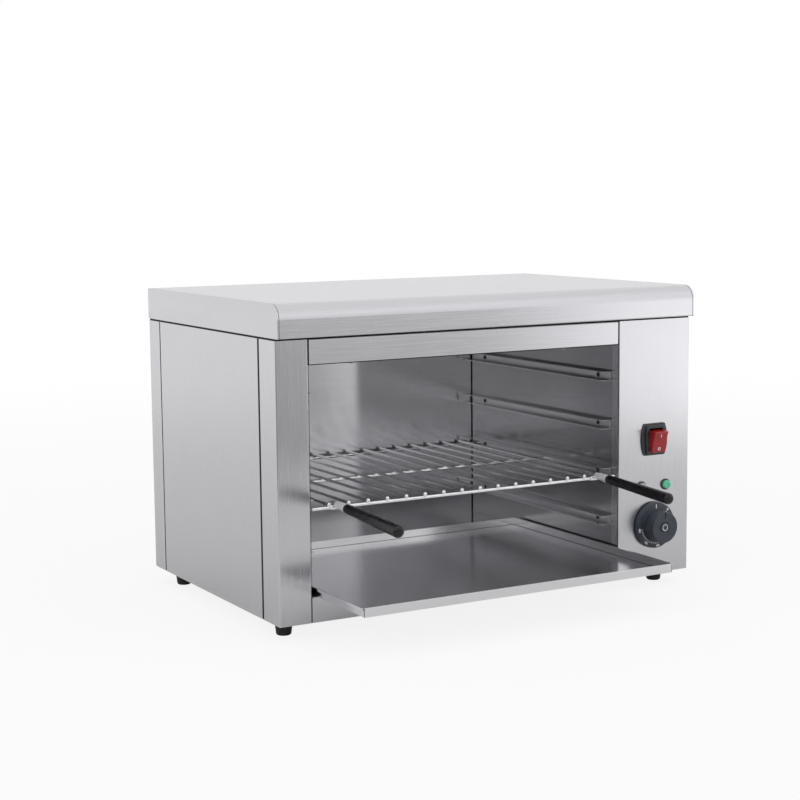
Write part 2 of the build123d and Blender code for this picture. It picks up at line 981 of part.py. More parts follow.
def knob():
    """A skirted dial knob, hollow from behind, with a hub for the spindle."""
    skirt_front = knob_gap + knob_skirt
    line = [
        (0, knob_depth),
        (knob_grip_r, knob_depth),
        (knob_grip_base_r, skirt_front),
        (knob_face_r, skirt_front),
        (knob_r, knob_gap),
        (knob_r - knob_wall, knob_gap),
        (knob_face_r - knob_wall, skirt_front - knob_wall),
        (knob_grip_base_r - knob_wall, skirt_front - knob_wall),
        (knob_grip_r - knob_wall, knob_depth - knob_wall),
        (knob_hub_r, knob_depth - knob_wall),
        (knob_hub_r, knob_hub_end),
        (0, knob_hub_end),
    ]
    with BuildPart() as part:
        with BuildSketch(Plane.XZ) as section:
            with BuildLine():
                Polyline(*line, close=True)
            make_face()
            corners = section.vertices()
            fillet([corners.sort_by_distance(point)[0] for point in (line[1], line[3])], knob_round)
        revolve(axis=Axis.Z)
    body = part.part
    bore_top = knob_depth - spindle_top
    bore = Pos(0, 0, bore_top / 2) * Cylinder(spindle_r + spindle_fit, bore_top)
    key = slab(
        (-knob_r, knob_r),
        (spindle_r - spindle_flat + spindle_fit, knob_r),
        (0, bore_top),
    )
    body -= bore - key
    body -= Pos(0, 0, knob_depth - cap_recess / 2) * Cylinder(cap_r + grip_fit, cap_recess)
    pointer_y = knob_grip_r - pointer_length / 2
    body -= slab(
        (-pointer_w / 2, pointer_w / 2),
        (pointer_y - pointer_length / 2, knob_r),
        (knob_depth - pointer_depth, knob_depth),
    )
    return front_plane(control_x, base + knob_up) * body


def knob_cap():
    disc = Pos(0, 0, knob_depth - cap_recess + cap_thickness / 2) * Cylinder(cap_r, cap_thickness)
    disc = fillet(disc.edges().filter_by(GeomType.CIRCLE).sort_by(Axis.Z)[-1], cap_edge)
    return front_plane(control_x, base + knob_up) * disc


def thermostat_spindle():
    top_out = knob_depth - spindle_top - spindle_fit
    length = top_out + sheet + spindle_seat
    shaft = Pos(0, 0, top_out - length / 2) * Cylinder(spindle_r, length)
    flat_z = (knob_hub_end, top_out)
    shaft -= slab((-knob_r, knob_r), (spindle_r - spindle_flat, knob_r), flat_z)
    return front_plane(control_x, base + knob_up) * shaft


def thermostat_screw_places():
    return (control_x - thermostat_screw_gap / 2, control_x + thermostat_screw_gap / 2)


def thermostat_body():
    z = base + knob_up
    low_y = front + sheet
    body = slab(
        (control_x - thermostat_w / 2, control_x + thermostat_w / 2),
        (low_y, low_y + thermostat_depth),
        (z - thermostat_h / 2, z + thermostat_h / 2),
    )
    body = fillet(body.edges().filter_by(Axis.Y), thermostat_corner)
    bore_depth = spindle_seat + spindle_fit
    body -= rod_y(spindle_r + spindle_fit, control_x, (low_y, low_y + bore_depth), z)
    for x in thermostat_screw_places():
        body -= rod_y(thermostat_screw_r + grip_fit, x, (low_y, low_y + spindle_seat), z)
    return body


def thermostat_screws():
    screws = []
    z = base + knob_up
    for x in thermostat_screw_places():
        head = rod_y(thermostat_screw_head_r, x, (front - thermostat_screw_head, front), z)
        shank = rod_y(thermostat_screw_r, x, (front, front + spindle_seat), z)
        screws.append(head + shank)
    return Compound(screws)


def bulb_places():
    """The bulb's axis beside the cavity's right wall, and its two ends."""
    x = opening_right + sheet + bulb_r + clip_wall
    y = front + bulb_front
    return x, (y, y + bulb_length), base + bulb_up


def thermostat_bulb():
    x, y_range, z = bulb_places()
    bulb = rod_y(bulb_r, x, y_range, z)
    return fillet(bulb.edges().filter_by(GeomType.CIRCLE), bulb_round)


def bulb_clips():
    x, y_range, z = bulb_places()
    wall = opening_right + sheet
    outer = bulb_r + clip_wall
    clips = []
    for y in (y_range[0] + clip_inset, y_range[1] - clip_inset):
        span = (y - clip_width / 2, y + clip_width / 2)
        ring = rod_y(outer, x, span, z)
        ring += slab((wall, wall + clip_wall), span, (z - 3 * outer, z))
        ring += slab((wall, x), span, (z - outer, z))
        clips.append(ring - rod_y(bulb_r + grip_fit, x, span, z))
    return Compound(clips)


def capillary():
    """The thin tube from the thermostat's rear up to the bulb's front end."""
    x, y_range, z = bulb_places()
    start_y = front + sheet + thermostat_depth
    lift_y = start_y + capillary_run
    exit_z = base + knob_up + thermostat_h / 4
    path = FilletPolyline(
        (control_x, start_y, exit_z),
        (control_x, lift_y, exit_z),
        (x, lift_y, z),
        (x, y_range[0], z),
        radius=capillary_bend_r,
    )
    start = Plane((control_x, start_y, exit_z), x_dir=(1, 0, 0), z_dir=(0, 1, 0))
    return sweep(start * Circle(capillary_r), path=path)


# Supply


def gland_x():
    return right - gland_in


def cable_gland():
    x = gland_x()
    z = base + gland_up
    gland = hex_y(gland_hex_r, x, (rear, rear + gland_hex), z)
    dome = rod_y(gland_dome_r, x, (rear + gland_hex, rear + gland_reach), z)
    gland += fillet(dome.edges().filter_by(GeomType.CIRCLE).sort_by(Axis.Y)[-1], gland_round)
    gland += rod_y(gland_thread_r, x, (rear - sheet - gland_inside, rear), z)
    return gland - rod_y(gland_bore_r, x, (rear - 2 * gland_inside, rear + 2 * gland_reach), z)


def gland_locknut():
    x = gland_x()
    z = base + gland_up
    level = (rear - sheet - locknut, rear - sheet)
    return hex_y(locknut_r, x, level, z) - rod_y(gland_thread_r + grip_fit, x, level, z)


def terminal_block():
    high_y = rear - terminal_gap
    low_y = high_y - terminal_d
    pitch = terminal_w / terminal_ways
    middle = pan_top + terminal_h / 2
    width = (control_x - terminal_w / 2, control_x + terminal_w / 2)
    block = slab(width, (low_y, high_y), (pan_top, middle))
    for way in range(terminal_ways):
        x = control_x + (way - (terminal_ways - 1) / 2) * pitch
        half = pitch / 2 - terminal_groove
        block += slab((x - half, x + half), (low_y, high_y), (pan_top, pan_top + terminal_h))
        for y in (low_y + terminal_d / 4, high_y - terminal_d / 4):
            block -= rod_z_axis(terminal_screw_r, x, y, (middle, pan_top + terminal_h))
    return block


# Every node, under the name that its file takes
nodes = {
    "front_post_left": front_post_left(),
    "side_panel_left": side_panel_left(),
    "rear_post_left": rear_post_left(),
    "control_panel": control_panel(),
    "side_panel_right": mirrored(side_panel_left()),
    "rear_post_right": mirrored(rear_post_left()),
    "back_panel": back_panel(),
    "back_panel_screws": back_panel_screws(),
    "lintel": lintel(),
    "base_rail": base_rail(),
    "base_pan": base_pan(),
    "cavity_floor": cavity_floor(),
    "liner_left": liner_left(),
    "liner_right": liner_right(),
    "liner_rear": liner_rear(),
    "reflector": reflector(),
    "top_plate": top_plate(),
    "cover_seal": cover_seal(),
    "top_cover": top_cover(),
    "cover_end_left": cover_end_left(),
    "cover_end_right": mirrored(cover_end_left()),
    "foot_screws": foot_screws(),
    "foot_nuts": foot_nuts(),
    "runners_left": Compound(runners_left()),
    "runners_right": Compound(across_cavity(runners_left())),
    "runner_rivets": Compound(rivets_left() + across_cavity(rivets_left())),
    "rack_grid": rack_grid(),
    "handle_ferrules": Compound([handle_ferrule(x) for x in handle_places()]),
    "drip_tray": drip_tray(),
    "heater_nuts": heater_nuts(),
    "heater_brackets": Compound([heater_bracket(x) for x in bracket_places()]),
    "switch_frame": switch_frame(),
    "rocker": rocker(),
    "switch_body": switch_body(),
    "lamp_clips": lamp_clips(),
    "knob": knob(),
    "knob_cap": knob_cap(),
    "thermostat_spindle": thermostat_spindle(),
    "thermostat_body": thermostat_body(),
    "thermostat_screws": thermostat_screws(),
    "thermostat_bulb": thermostat_bulb(),
    "bulb_clips": bulb_clips(),
    "capillary": capillary(),
    "cable_gland": cable_gland(),
    "gland_locknut": gland_locknut(),
    "terminal_block": terminal_block(),
}
for name, (x, y) in zip(("front_left", "front_right", "rear_left", "rear_right"), foot_places()):
    nodes["foot_" + name] = foot(x, y)
for side_name, x in zip(("left", "right"), handle_places()):
    nodes["handle_grip_" + side_name] = handle_grip(x)
for number, pair in enumerate(heater_leg_pairs(), start=1):
    nodes[f"heater_element_{number}"] = heater_element(pair)
for colour, x in zip(("amber", "green"), lamp_places()):
    nodes["lamp_lens_" + colour] = lamp_lens(x)
    nodes["lamp_body_" + colour] = lamp_body(x)

os.makedirs("parts", exist_ok=True)
for name, solid in nodes.items():
    export_step(solid, "parts/" + name + ".step")
print(len(nodes), "nodes; front face at y =", round(front, 3), "handle reach", round(handle_reach, 3))
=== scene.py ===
"""The looks of a counter-top cheese melter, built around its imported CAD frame.

The row frame is in metres: X to the right along the front, Y to the rear, Z up from the
surface that the feet stand on. The sizes of the sub-assemblies are in millimetres.
"""

import logging
import math
from collections.abc import Iterable, Sequence
from dataclasses import dataclass, field
from enum import Enum
from typing import ClassVar

import bmesh
import bpy
from mathutils import Matrix, Vector


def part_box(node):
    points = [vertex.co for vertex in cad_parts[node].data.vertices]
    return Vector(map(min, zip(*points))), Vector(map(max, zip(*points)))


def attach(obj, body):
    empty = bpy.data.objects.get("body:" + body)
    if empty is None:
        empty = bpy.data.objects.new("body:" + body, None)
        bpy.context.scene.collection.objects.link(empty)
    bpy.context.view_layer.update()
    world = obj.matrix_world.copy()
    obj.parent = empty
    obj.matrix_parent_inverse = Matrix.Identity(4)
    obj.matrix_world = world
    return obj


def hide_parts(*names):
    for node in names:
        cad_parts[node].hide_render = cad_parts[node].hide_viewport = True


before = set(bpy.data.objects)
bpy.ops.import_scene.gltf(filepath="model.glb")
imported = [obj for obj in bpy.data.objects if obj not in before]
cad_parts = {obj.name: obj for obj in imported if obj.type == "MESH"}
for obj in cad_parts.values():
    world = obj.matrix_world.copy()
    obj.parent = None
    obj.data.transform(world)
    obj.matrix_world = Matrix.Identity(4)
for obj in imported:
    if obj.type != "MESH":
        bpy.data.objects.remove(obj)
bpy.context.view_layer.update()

log = logging.getLogger("cheese_melter")

Tree = bpy.types.NodeTree
Socket = bpy.types.NodeSocket
Material = bpy.types.Material
Pair = tuple[float, float]
Triple = tuple[float, float, float]
Face = tuple[int, ...]

MM = 0.001
CABINET = "cabinet"
RACK = "rack"
TRAY = "tray"
DIAL = "dial"
ROCKER = "switch_rocker"
ROW = Matrix.Identity(4)
RIGHT = Vector((1.0, 0.0, 0.0))
UP = Vector((0.0, 0.0, 1.0))
TO_USER = Vector((0.0, -1.0, 0.0))
TO_REAR = Vector((0.0, 1.0, 0.0))
SMOOTH_ANGLE = 35.0
# Where nearly all of a noise's values lie
NOISE_SPAN = {"From Min": 0.3, "From Max": 0.7}


# Shader nodes


def linear(hex_colour: str) -> tuple[float, float, float, float]:
    """Turns an sRGB colour into the linear one that shaders take.

    Args:
        hex_colour: Six hex digits, such as "C8C9CC".

    Returns:
        Red, green, blue and an alpha of 1.
    """
    parts = [int(hex_colour[i : i + 2], 16) / 255 for i in (0, 2, 4)]
    red, green, blue = (
        part / 12.92 if part <= 0.04045 else ((part + 0.055) / 1.055) ** 2.4 for part in parts
    )
    return red, green, blue, 1.0


def add_node(
    tree: Tree, kind: str, inputs: dict[str | int, object] | None = None, **settings: object
) -> bpy.types.Node:
    """Adds a node, sets it up and links what feeds it.

    Args:
        tree: The node tree that gets the node.
        kind: Blender's name for the node type.
        inputs: Socket names or indexes, each with a value or with a socket to link.
        settings: Attribute names of the node and their values.

    Returns:
        The new node.
    """
    node = tree.nodes.new(kind)
    for name, value in settings.items():
        setattr(node, name, value)
    for name, value in (inputs or {}).items():
        if isinstance(value, Socket):
            tree.links.new(value, node.inputs[name])
        else:
            node.inputs[name].default_value = value
    return node


def new_material(name: str) -> tuple[Material, Tree]:
    """Makes a material with an empty node tree.

    Args:
        name: Name of the material.

    Returns:
        The material and its tree.
    """
    material = bpy.data.materials.new(name)
    material.use_nodes = True
    material.node_tree.nodes.clear()
    return material, material.node_tree


def close_material(material: Material, shader: Socket, preview: str) -> None:
    """Links a shader to a material's output and sets the material's viewport colour."""
    add_node(material.node_tree, "ShaderNodeOutputMaterial", {"Surface": shader})
    material.diffuse_color = linear(preview)


def noise(tree: Tree, steps_mm: Sequence[float], detail: float, rough: float) -> Socket:
    """Noise whose cells have real sizes, fixed to the object.

    Args:
        tree: The node tree that gets the nodes.
        steps_mm: Size of a cell along X, Y and Z, in millimetres.
        detail: Octaves of finer noise.
        rough: Share of each finer octave.

    Returns:
        The noise value, from 0 to 1 around 0.5.
    """
    place = add_node(tree, "ShaderNodeTexCoord").outputs["Object"]
    scale = [1 / (step * MM) for step in steps_mm]
    mapping = add_node(tree, "ShaderNodeMapping", {"Vector": place, "Scale": scale})
    grain = {"Scale": 1.0, "Detail": detail, "Roughness": rough}
    grain["Vector"] = mapping.outputs["Vector"]
    return add_node(tree, "ShaderNodeTexNoise", grain).outputs["Fac"]


# Finishes


class Grain(Enum):
    """The way along which a sheet was brushed, as the index of an axis."""

    ALONG_X = 0
    ALONG_Y = 1
    UPRIGHT = 2


@dataclass(frozen=True)
class Finish:
    """What every finish has: two close colours, a roughness that swings, and a relief."""

    name: str
    low: str
    high: str
    roughness: float
    swing: float = 0.07
    bump: float = 0.03
    depth_mm: float = 0.1

    def patterns(self, tree: Tree) -> tuple[Socket, Socket]:
        """The noise that the colour and roughness follow, and the noise of the relief."""
        raise NotImplementedError

    def own_inputs(self, tree: Tree, roughness: Socket) -> dict[str, object]:
        """The shader's inputs that only this kind of finish sets."""
        raise NotImplementedError

    def make(self) -> Material:
        """Builds the node material.

        Returns:
            The material, named as the finish.
        """
        material, tree = new_material(self.name)
        pattern, height = self.patterns(tree)
        spread = {"Value": pattern, **NOISE_SPAN}
        share = add_node(tree, "ShaderNodeMapRange", spread)
        shades = {0: share.outputs[0], 6: linear(self.low), 7: linear(self.high)}
        colour = add_node(tree, "ShaderNodeMix", shades, data_type="RGBA")
        swings = {"To Min": self.roughness - self.swing, "To Max": self.roughness + self.swing}
        roughness = add_node(tree, "ShaderNodeMapRange", spread | swings).outputs[0]
        relief = {"Height": height, "Strength": self.bump, "Distance": self.depth_mm * MM}
        shared = {
            "Base Color": colour.outputs[2],
            "Roughness": roughness,
            "Normal": add_node(tree, "ShaderNodeBump", relief).outputs[0],
        }
        inputs = shared | self.own_inputs(tree, roughness)
        shader = add_node(tree, "ShaderNodeBsdfPrincipled", inputs)
        close_material(material, shader.outputs[0], self.high)
        return material


@dataclass(frozen=True)
class BrushedStainless(Finish):
    """Stainless sheet, 430 grade, brushed with a fine belt in one direction.

    It gives the eye a grey mirror that is smeared across the scratches and stays fairly
    sharp along them, with faint streaks. The real scratches are about 0.05 mm apart and
    are drawn 0.6 mm apart, because they wouldn't show otherwise.
    """

    grain: Grain = Grain.UPRIGHT
    anisotropy: float = 0.6
    scratch_mm: float = 0.6
    run_mm: float = 55.0
    cloud_mm: float = 70.0
    cloud_swing: float = 0.012

    def patterns(self, tree: Tree) -> tuple[Socket, Socket]:
        """Makes the scratches, which serve for the colour and for the relief.

        Args:
            tree: The material's node tree.

        Returns:
            The same noise twice.
        """
        steps = [self.scratch_mm] * 3
        steps[self.grain.value] = self.run_mm
        scratches = noise(tree, steps, 3.0, 0.65)
        return scratches, scratches

    def own_inputs(self, tree: Tree, roughness: Socket) -> dict[str, object]:
        """Adds soft clouds to the roughness and turns the smear across the scratches.

        Args:
            tree: The material's node tree.
            roughness: The roughness of the scratches.

        Returns:
            Input names and what they take.
        """
        clouds = noise(tree, [self.cloud_mm] * 3, 2.0, 0.5)
        swings = {"To Min": -self.cloud_swing, "To Max": self.cloud_swing}
        drift = add_node(tree, "ShaderNodeMapRange", {"Value": clouds, **NOISE_SPAN, **swings})
        both = {0: roughness, 1: drift.outputs[0]}
        axis = "XYZ"[self.grain.value]
        tangent = add_node(tree, "ShaderNodeTangent", direction_type="RADIAL", axis=axis)
        return {
            "Metallic": 1.0,
            "Roughness": add_node(tree, "ShaderNodeMath", both, operation="ADD").outputs[0],
            "Anisotropic": self.anisotropy,
            "Tangent": tangent.outputs[0],
        }


@dataclass(frozen=True)
class PlainMetal(Finish):
    """Drawn, cast or plated metal with no brushing: bright wire, zinc plate, copper.

    It gives the eye a clean reflection that is a little uneven, with soft stains.
    """

    stain_mm: float = 9.0
    pit_mm: float = 0.8
    metallic: float = 1.0

    def patterns(self, tree: Tree) -> tuple[Socket, Socket]:
        """The stains, and the pits of the relief."""
        stains = noise(tree, [self.stain_mm] * 3, 3.0, 0.55)
        return stains, noise(tree, [self.pit_mm] * 3, 2.0, 0.5)

    def own_inputs(self, tree: Tree, roughness: Socket) -> dict[str, object]:
        """How far the surface is bare metal."""
        return {"Metallic": self.metallic}


@dataclass(frozen=True)
class Moulded(Finish):
    """Plastic or rubber out of a mould: a fine grain under a weak sheen.

    It gives the eye an even body, broad soft highlights and a slight orange peel.
    """

    bump: float = 0.12
    depth_mm: float = 0.08
    grain_mm: float = 0.35
    patch_mm: float = 14.0
    specular: float = 0.5
    coat: float = 0.0
    coat_roughness: float = 0.08

    def patterns(self, tree: Tree) -> tuple[Socket, Socket]:
        """The patches of colour, and the mould's grain."""
        patches = noise(tree, [self.patch_mm] * 3, 3.0, 0.5)
        return patches, noise(tree, [self.grain_mm] * 3, 2.0, 0.6)

    def own_inputs(self, tree: Tree, roughness: Socket) -> dict[str, object]:
        """The strength of the highlight and the gloss over it."""
        gloss = {"Coat Weight": self.coat, "Coat Roughness": self.coat_roughness}
        return {"Specular IOR Level": self.specular, **gloss}


# Belt-brushed upright on the front and side sheets: soft bands that run across
UPRIGHT_SHEET = BrushedStainless("stainless_430_brushed_upright", "C6C6CA", "D0D0D3", 0.24, 0.04)
# Brushed along the front on the lintel, the rail and the cover: smeared up and down
LENGTHWISE_SHEET = BrushedStainless(
    "stainless_430_brushed_lengthwise", "C6C6CA", "D0D0D3", 0.24, 0.04, grain=Grain.ALONG_X
)
# Bright-rolled rear wall: smeared up and down, while upright edges stay sharp in it
LINER_REAR = BrushedStainless(
    "stainless_430_bright_rear",
    "C4C4C7",
    "CECED1",
    0.14,
    0.01,
    0.006,
    grain=Grain.ALONG_X,
    anisotropy=1.0,
)
# Bright-rolled side walls: a fairly clear mirror, a little darker
LINER_SIDE = BrushedStainless(
    "stainless_430_bright_side",
    "B6B6B8",
    "C2C2C4",
    0.15,
    0.04,
    grain=Grain.ALONG_Y,
    anisotropy=0.0,
)
# The tray's sheet: light and satin, with a soft mirror
TRAY_SHEET = BrushedStainless(
    "stainless_430_satin_tray",
    "DCDCDE",
    "E4E4E6",
    0.18,
    0.03,
    0.02,
    grain=Grain.ALONG_X,
    anisotropy=0.3,
)
# Folded runner channels: light, even and duller than the walls. Their scratches are drawn
# coarser still, 1.2 mm apart
RUNNER_SHEET = BrushedStainless(
    "stainless_430_dull_runner",
    "D6D6D8",
    "DEDEE0",
    0.24,
    0.02,
    0.006,
    grain=Grain.ALONG_Y,
    anisotropy=0.0,
    scratch_mm=1.2,
    run_mm=30.0,
)
# Drawn stainless wire, electropolished: bright and clean
BRIGHT_WIRE = PlainMetal(
    "stainless_304_electropolished", "E4E4E6", "F0F0F1", 0.12, 0.03, metallic=0.95
)
# Zinc-plated screws and nuts: light grey with a faint yellow cast
ZINC = PlainMetal("zinc_plated_steel", "B4B3AC", "CBCBC8", 0.3, 0.06)
# Nickel alloy, oxidised by heat: dark with a brown cast. The same dark finish paints the shade in
# the tray's open joints and folds, and colours the rivet heads
OXIDISED_SHEATH_AND_PAINTED_SHADE = PlainMetal(
    "nickel_alloy_oxidised_and_painted_shade", "4A4541", "6A6460", 0.42, 0.08, stain_mm=14.0
)
# Drawn copper tube: warm and clean
COPPER = PlainMetal("copper_drawn", "B87352", "CC8A66", 0.25, 0.06)
# Ferrules cast in aluminium and tumbled: light grey and matt
CAST_FERRULE = PlainMetal(
    "aluminium_cast_tumbled",
    "D8D8DA",
    "E8E8EA",
    0.38,
    0.05,
    0.1,
    stain_mm=4.0,
    pit_mm=0.5,
    metallic=0.35,
)
# White ink of the dial's scale and the switch's marks: flat and matt
WHITE_PRINT = Moulded("printed_ink_white", "DADBDC", "EDEEEF", 0.5, bump=0.05)
# Lens of the power lamp, which is off: smoky, with a grey-lavender cast
SMOKED_LENS = Moulded("polycarbonate_smoked", "8F8A98", "B5B0BD", 0.15, 0.03, 0.02, coat=0.5)
# Phenolic grips: black, hard and slightly glossy
PHENOLIC = Moulded("phenolic_moulded_black", "09090A", "131315", 0.3, bump=0.08, specular=0.4)
# ABS frame of the rocker switch: black with a cool cast
SWITCH_ABS = Moulded("abs_moulded_black", "202729", "2E3638", 0.38)
# Heat-proof dial plastic: blue-black and satin
DIAL_PLASTIC = Moulded("pbt_moulded_blue_black", "252A33", "343A45", 0.42)
# The dial's cap, out of a polished mould: the same blue-black with more gloss
CAP_PLASTIC = Moulded("pbt_cap_glossy", "2A303A", "3A414D", 0.25)
# Polycarbonate rocker, tinted right through: deep red under a thin gloss
RED_ROCKER = Moulded(
    "polycarbonate_red", "8A0E12", "A5191D", 0.24, 0.04, 0.03, specular=0.4, coat=0.25
)
# Polycarbonate lamp lenses: milky colour under a clear gloss
AMBER_LENS = Moulded("polycarbonate_amber", "C98A3C", "DDA75A", 0.15, 0.03, 0.02, coat=0.5)
GREEN_LENS = Moulded("polycarbonate_green", "35A883", "5FD0A2", 0.15, 0.03, 0.02, coat=0.5)
# Polyamide terminal block: off-white and dull
WHITE_PA = Moulded("polyamide_white", "D9D8D2", "E6E5E0", 0.45)
# Black silicone: matt and almost without a highlight. It is the seal under the cover, and it also
# paints the shade in the open joints, in the cover's seams and in the gap under the cover's edge
SEAL_AND_PAINTED_SHADE = Moulded("black_seal_and_painted_shade", "040404", "0A0A0B", 0.6, 0.05, 0.05, specular=0.2)
# Rubber feet: dark grey and matt, with a coarse skin
RUBBER = Moulded("epdm_rubber_black", "151515", "202020", 0.62, bump=0.25)

NODE_FINISHES: dict[Finish, str] = {
    UPRIGHT_SHEET: "front_post_left side_panel_left rear_post_left control_panel"
    " side_panel_right rear_post_right back_panel",
    LENGTHWISE_SHEET: "lintel base_rail top_cover cover_end_left cover_end_right top_plate"
    " base_pan",
    LINER_REAR: "liner_rear reflector",
    LINER_SIDE: "liner_left liner_right cavity_floor",
    TRAY_SHEET: "drip_tray",
    RUNNER_SHEET: "runners_left runners_right heater_brackets",
    BRIGHT_WIRE: "rack_grid handle_ferrules runner_rivets",
    ZINC: "back_panel_screws foot_screws foot_nuts heater_nuts thermostat_screws lamp_clips"
    " bulb_clips thermostat_spindle",
    OXIDISED_SHEATH_AND_PAINTED_SHADE: "heater_element_1 heater_element_2 heater_element_3",
    COPPER: "thermostat_bulb capillary",
    PHENOLIC: "handle_grip_left handle_grip_right cable_gland gland_locknut lamp_body_amber"
    " lamp_body_green thermostat_body switch_body",
    SWITCH_ABS: "switch_frame",
    DIAL_PLASTIC: "knob",
    CAP_PLASTIC: "knob_cap",
    RED_ROCKER: "rocker",
    AMBER_LENS: "lamp_lens_amber",
    GREEN_LENS: "lamp_lens_green",
    WHITE_PA: "terminal_block",
    RUBBER: "foot_front_left foot_front_right foot_rear_left foot_rear_right cover_seal",
}


def dress_nodes() -> dict[str, Material]:
    """Gives every carried-over CAD node its finish.

    Returns:
        Each finish's material under the finish's name.
    """
    made: dict[str, Material] = {}
    for finish, names in NODE_FINISHES.items():
        made[finish.name] = finish.make()
        for name in names.split():
            for material_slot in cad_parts[name].material_slots:
                material_slot.material = made[finish.name]
        log.info("%s on %s", finish.name, names)
    return made


# Shapes


def link_object(name: str, data: bpy.types.ID) -> bpy.types.Object:
    """Adds an object to the scene.

    Args:
        name: Name of the object.
        data: Its mesh, camera or lamp.

    Returns:
        The new object.
    """
    thing = bpy.data.objects.new(name, data)
    bpy.context.scene.collection.objects.link(thing)
    return thing


def frame_at(origin: Vector, ahead: Vector, across: Vector) -> Matrix:
    """A frame in millimetres at a point of the row frame.

    Args:
        origin: The frame's origin, in metres.
        ahead: The way of its Z axis.
        across: The way of its X axis, square to ahead.

    Returns:
        The matrix from millimetres in the frame to metres in the row frame.
    """
    turn = Matrix((across, ahead.cross(across), ahead)).transposed().to_4x4()
    return Matrix.Translation(origin) @ turn @ Matrix.Scale(MM, 4)


def frame_on(name: str, y: float, ahead: Vector = TO_USER) -> Matrix:
    """A frame in the middle of a CAD node's box, at a depth of its own.

    Args:
        name: The CAD node.
        y: Depth of the frame's origin, in metres.
        ahead: The way of its Z axis, TO_USER or TO_REAR.

    Returns:
        The frame, in millimetres.
    """
    low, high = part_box(name)
    origin = Vector(((low.x + high.x) / 2, y, (low.z + high.z) / 2))
    return frame_at(origin, ahead, UP.cross(ahead))


def arc(
    centre: Pair, radius: float, start: float, end: float, count: int = 5
) -> list[Pair]:
    """Points of a profile's rounding.

    Args:
        centre: Centre of the rounding.
        radius: Its radius.
        start: Angle of the first point, in degrees.
        end: Angle of the last point, in degrees.
        count: Number of steps between them.

    Returns:
        The points, one more than there are steps.
    """
    angles = [math.radians(start + (end - start) * n / count) for n in range(count + 1)]
    return [(centre[0] + radius * math.cos(a), centre[1] + radius * math.sin(a)) for a in angles]


@dataclass
class Shape:
    """The vertices and faces of one piece, gathered in the row frame."""

    verts: list[Vector] = field(default_factory=list)
    faces: list[Face] = field(default_factory=list)

    def add(self, points: Iterable[Vector], faces: Iterable[Sequence[int]]) -> None:
        """Adds points and faces.

        Args:
            points: Points, in metres.
            faces: Faces, which count from the first of the points.
        """
        first = len(self.verts)
        self.verts.extend(points)
        self.faces.extend(tuple(first + index for index in face) for face in faces)

    def lathe(
        self,
        place: Matrix,
        profile: Sequence[Pair],
        steps: int = 48,
        ribs: int = 0,
        rib_depth: float = 0.0,
    ) -> None:
        """Turns a profile round the frame's Z axis.

        Args:
            place: Frame of the turned form, in millimetres.
            profile: Radius and height of each ring; a radius of 0 closes the form.
            steps: Sides of the turned form.
            ribs: Number of ribs round it, if any.
            rib_depth: Depth of the grooves between ribs, in millimetres.
        """
        points: list[Vector] = []
        rings: list[list[int]] = []
        turns = [2 * math.pi * step / steps for step in range(steps)]
        for radius, height in profile:
            first = len(points)
            for turn in turns if radius else turns[:1]:
                dip = rib_depth * (0.5 - 0.5 * math.cos(ribs * turn)) if ribs else 0.0
                flat = (radius - dip) * math.cos(turn), (radius - dip) * math.sin(turn)
                points.append(place @ Vector((*flat, height)))
            rings.append(list(range(first, len(points))))
        faces: list[Face] = []
        for low, high in zip(rings, rings[1:]):
            for step in range(steps):
                after = (step + 1) % steps
                if len(low) == 1:
                    faces.append((low[0], high[after], high[step]))
                elif len(high) == 1:
                    faces.append((low[step], low[after], high[0]))
                else:
                    faces.append((low[step], low[after], high[after], high[step]))
        self.add(points, faces)

    def bar(
        self, start: Vector, end: Vector, radius: float, rounding: float, steps: int = 20
    ) -> None:
        """Adds a round bar between two points in metres, with its ends eased.

        Args:
            start: Middle of one end face.
            end: Middle of the other end face.
            radius: Radius, in millimetres.
            rounding: Radius of the eased rims, in millimetres.
            steps: Sides of the bar.
        """
        ahead = (end - start).normalized()
        length = (end - start).length / MM
        near = [(0.0, 0.0)]
        for turn in (math.radians(angle) for angle in (0, 25, 50, 70, 90)):
            ring = radius - rounding * (1 - math.sin(turn))
            if ring > 0:
                near.append((ring, rounding * (1 - math.cos(turn))))
        far = [(ring, length - height) for ring, height in reversed(near)]
        self.lathe(frame_at(start, ahead, ahead.orthogonal().normalized()), near + far, steps)

    def ball(self, place: Matrix, size: Triple, steps: int = 12) -> None:
        """Adds a rounded bead.

        Args:
            place: Frame of the bead, in millimetres.
            size: Its half sizes.
            steps: Sides of the bead.
        """
        rows = 8
        turns = [math.pi * row / rows for row in range(1, rows)]
        profile = [(math.sin(turn), -math.cos(turn)) for turn in turns]
        scaled = place @ Matrix.Diagonal((*size, 1.0))
        self.lathe(scaled, [(0.0, -1.0), *profile, (0.0, 1.0)], steps)

    def block(self, place: Matrix, low: Sequence[float], high: Sequence[float]) -> None:
        """Adds a box.

        Args:
            place: Frame of the box, in millimetres, or ROW, in metres.
            low: Its lowest corner in that frame.
            high: Its highest corner in that frame.
        """
        xs, ys, zs = zip(low, high)
        points = [place @ Vector((x, y, z)) for z in zs for y in ys for x in xs]
        ends = [(0, 2, 3, 1), (4, 5, 7, 6)]
        self.add(points, [*ends, (0, 1, 5, 4), (2, 6, 7, 3), (0, 4, 6, 2), (1, 3, 7, 5)])

    def mesh(self, name: str, smooth: float = SMOOTH_ANGLE) -> bpy.types.Mesh:
        """Makes the mesh.

        Args:
            name: Name of the mesh.
            smooth: Edges up to this angle in degrees are smooth.

        Returns:
            The mesh, with its faces turned outwards.
        """
        mesh = bpy.data.meshes.new(name)
        mesh.from_pydata(self.verts, [], self.faces)
        form = bmesh.new()
        form.from_mesh(mesh)
        bmesh.ops.recalc_face_normals(form, faces=form.faces)
        form.to_mesh(mesh)
        form.free()
        mesh.shade_smooth()
        mesh.set_sharp_from_angle(angle=math.radians(smooth))
        return mesh


